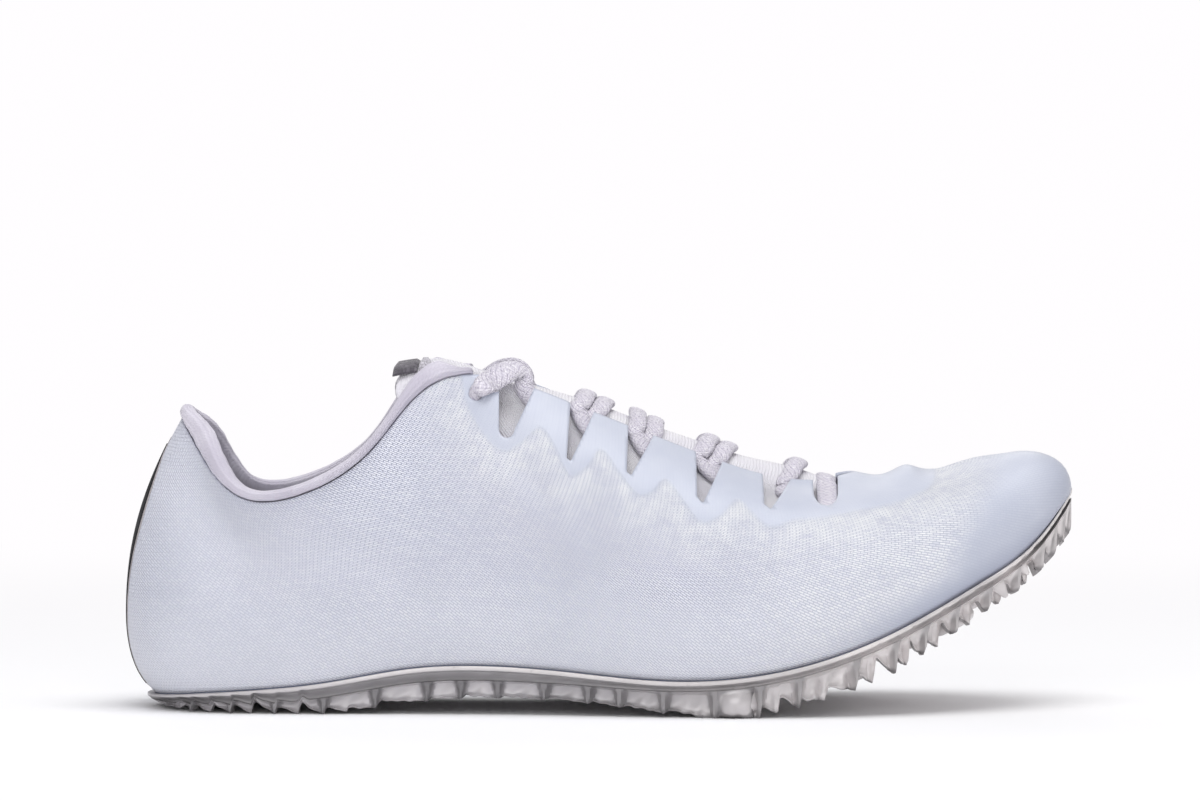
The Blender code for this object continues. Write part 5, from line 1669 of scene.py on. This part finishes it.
silver = plate_finish()
plate_uv = uv_grid(share * HALF_PERIMETER / MM, np.arange(section_loop.shape[1] + 1))
plate = tube_piece("plate_moulding", section_loop, silver, plate_uv, 27)
mark(plate, "shade", np.concatenate(plate_shade, axis=1))
lay_on(merged(plate, 2e-5), "spike_plate")

# %% [markdown]
# Seven bosses take the spikes. Each is a dome turned on a lathe, square to the plate, with a blind
# socket and a thin ring round it. Rows of small pyramids between them give grip.

# %% Frame and lathe for the bosses
# Each boss: shares of the plate's length and of its half width there.
BOSSES = (
    (0.636, -0.84), (0.745, -0.70), (0.855, -0.58), (0.675, 0.78), (0.785, 0.76), (0.865, 0.66),
    (0.885, -0.02),
)
BOSS_SIDES = 36


def plate_frame(x, y, down):
    """A point below the rim's height, and the plate's own three directions there."""
    slope = (rim_height(x + SLOPE_STEP) - rim_height(x - SLOPE_STEP)) / (2 * SLOPE_STEP)
    normal = unit(np.stack([-slope, np.zeros_like(slope), np.ones_like(slope)], -1))
    ahead = unit(np.stack([np.ones_like(slope), np.zeros_like(slope), slope], -1))
    point = np.stack([x, y, rim_height(x)], -1) - normal * np.asarray(down)[..., None]
    return point, normal, ahead, np.cross(normal, ahead)


def turned(profile, place, normal, ahead, aside):
    """A lathe shape: the profile's radius goes round the axis and its depth runs down it."""
    turn = full_turn(BOSS_SIDES)
    radius, depth = profile.T
    ring = np.cos(turn)[:, None, None] * ahead + np.sin(turn)[:, None, None] * aside
    return place + ring * radius[None, :, None] - normal * depth[None, :, None]


def plan_place(at, across):
    """x and y of a share of the plate's length and a share of its half width there."""
    half = BALL_WIDTH * plan_half(at) * end_round(at)
    return PLATE_HEEL_X + PLATE_LENGTH * at, BALL_WIDTH * plan_centre(at) + across * half


print(len(BOSSES), "bosses")

# %% Bosses
BOSS_ROUND, BOSS_NECK = 0.0022, 0.0046
FLOOR_ROOM, BOSS_SHORT, TOE_SHORTER = 0.0008, 0.0006, 0.0020
# Radius and depth down the root of a boss, and radius and height above its tip round the socket.
BOSS_ROOT = ((0.0001, 0.0016), (0.0042, 0.0016), (0.0052, 0.0026), (0.0061, 0.0040))
BOSS_SOCKET = ((0.0036, 0.0001), (0.0034, 0.0006), (0.0026, 0.0007), (0.0025, 0.0050), (0.0001, 0.0054))
boss_grids = []
for at, across_share in BOSSES:
    x, y = plan_place(np.array(at), across_share)
    depth = min(LUG_DEPTH * float(rocker_depth(at)), float(rim_height(x)) - FLOOR_ROOM)
    depth = depth - BOSS_SHORT - TOE_SHORTER * float(ease(at, 0.66, 0.74))
    turn = np.linspace(0, math.pi / 2, 7)
    dome = [BOSS_NECK + BOSS_ROUND * np.cos(turn), depth - BOSS_ROUND + BOSS_ROUND * np.sin(turn)]
    socket = [(radius, depth - above) for radius, above in BOSS_SOCKET]
    boss_grids.append(turned(np.vstack([BOSS_ROOT, np.stack(dome, -1), socket]), *plate_frame(x, y, 0.0)))


def many_turned(name, grids, finish):
    """One piece from several lathe shapes of the same size."""
    columns, rows = grids[0].shape[:2]
    i, k = corner_faces(columns, rows, ring=True)
    one = (i % columns) * rows + k
    faces = (one[None] + (np.arange(len(grids)) * columns * rows)[:, None, None]).reshape(-1, 4)
    uv = np.tile(np.stack([i, k], -1), (len(grids), 1, 1))
    return build(name, np.concatenate(grids), [faces], [uv], [finish], 38)


bosses = many_turned("spike_bosses", boss_grids, silver)
lay_on(merged(bosses, 3e-4))

# %% Places of the small teeth
# Each row: its share of the half width, where it starts and stops along the plate, and its teeth.
TOOTH_ROWS = (
    (-0.58, 0.60, 0.93, 15), (0.58, 0.60, 0.93, 15), (-0.30, 0.63, 0.95, 14), (0.30, 0.63, 0.95, 14),
    (0.0, 0.61, 0.85, 10), (-0.80, 0.665, 0.93, 12), (0.80, 0.70, 0.93, 10), (-0.45, 0.05, 0.20, 6),
    (0.45, 0.05, 0.20, 6),
)
BOSS_CLEAR = 0.0105
rows_of_teeth = []
for across_share, start, stop, count in TOOTH_ROWS:
    at = np.linspace(start, stop, count) + 0.006 * np.sin(np.arange(count) * 2.3 + across_share * 5)
    rows_of_teeth.append(np.stack(plan_place(at, across_share), -1))
spots = np.concatenate(rows_of_teeth)
boss_spots = np.array([plan_place(np.array(at), across_share) for at, across_share in BOSSES])
spots = spots[np.linalg.norm(spots[:, None] - boss_spots[None], axis=2).min(1) > BOSS_CLEAR]
print(len(spots), "small teeth")

# %% Small teeth
TOOTH_LONG, TOOTH_WIDE, TOOTH_TALL, TOOTH_LEAST = 0.0062, 0.0050, 0.80, 0.0012
TIP_LONG, TIP_WIDE, TIP_SHIFT = 0.10, 0.16, 0.16
TOOTH_CORNERS = ((-1, -1), (1, -1), (1, 1), (-1, 1))
TOOTH_SIDES = ((0, 1, 5, 4), (1, 2, 6, 5), (2, 3, 7, 6), (3, 0, 4, 7), (4, 5, 6, 7), (3, 2, 1, 0))


def small_teeth(x, y, long, wide, tall):
    """Blunt pyramids on the underside: a base in the web and a small tip set forwards."""
    place, normal, ahead, aside = plate_frame(x, y, np.full(len(x), WEB - 0.0006))
    base, tip = [], []
    for a, b in TOOTH_CORNERS:
        base.append(place + ahead * (a * long / 2)[:, None] + aside * (b * wide / 2)[:, None])
        forwards = ahead * ((a * TIP_LONG + TIP_SHIFT) * long)[:, None]
        tip.append(place + forwards + aside * (b * TIP_WIDE * wide)[:, None] - normal * tall[:, None])
    return np.stack(base + tip, 1)


at = (spots[:, 0] - PLATE_HEEL_X) / PLATE_LENGTH
room = np.minimum(LUG_DEPTH * rocker_depth(at), rim_height(spots[:, 0])) - WEB
grow = 0.82 + 0.18 * np.sin(np.arange(len(spots)) * 1.9)
tall = np.maximum(TOOTH_TALL * room * grow, TOOTH_LEAST)
teeth = small_teeth(spots[:, 0], spots[:, 1], TOOTH_LONG * grow, TOOTH_WIDE * grow, tall)
number = np.arange(len(teeth))[:, None, None] * 8
tooth_faces = (number + np.array(TOOTH_SIDES)[None]).reshape(-1, 4)
grip = build("grip_teeth", teeth, [tooth_faces], None, [silver])
bevel = grip.modifiers.new("worn_edges", "BEVEL")
bevel.width, bevel.segments, bevel.limit_method = 0.00035, 1, "NONE"
lay_on(grip)
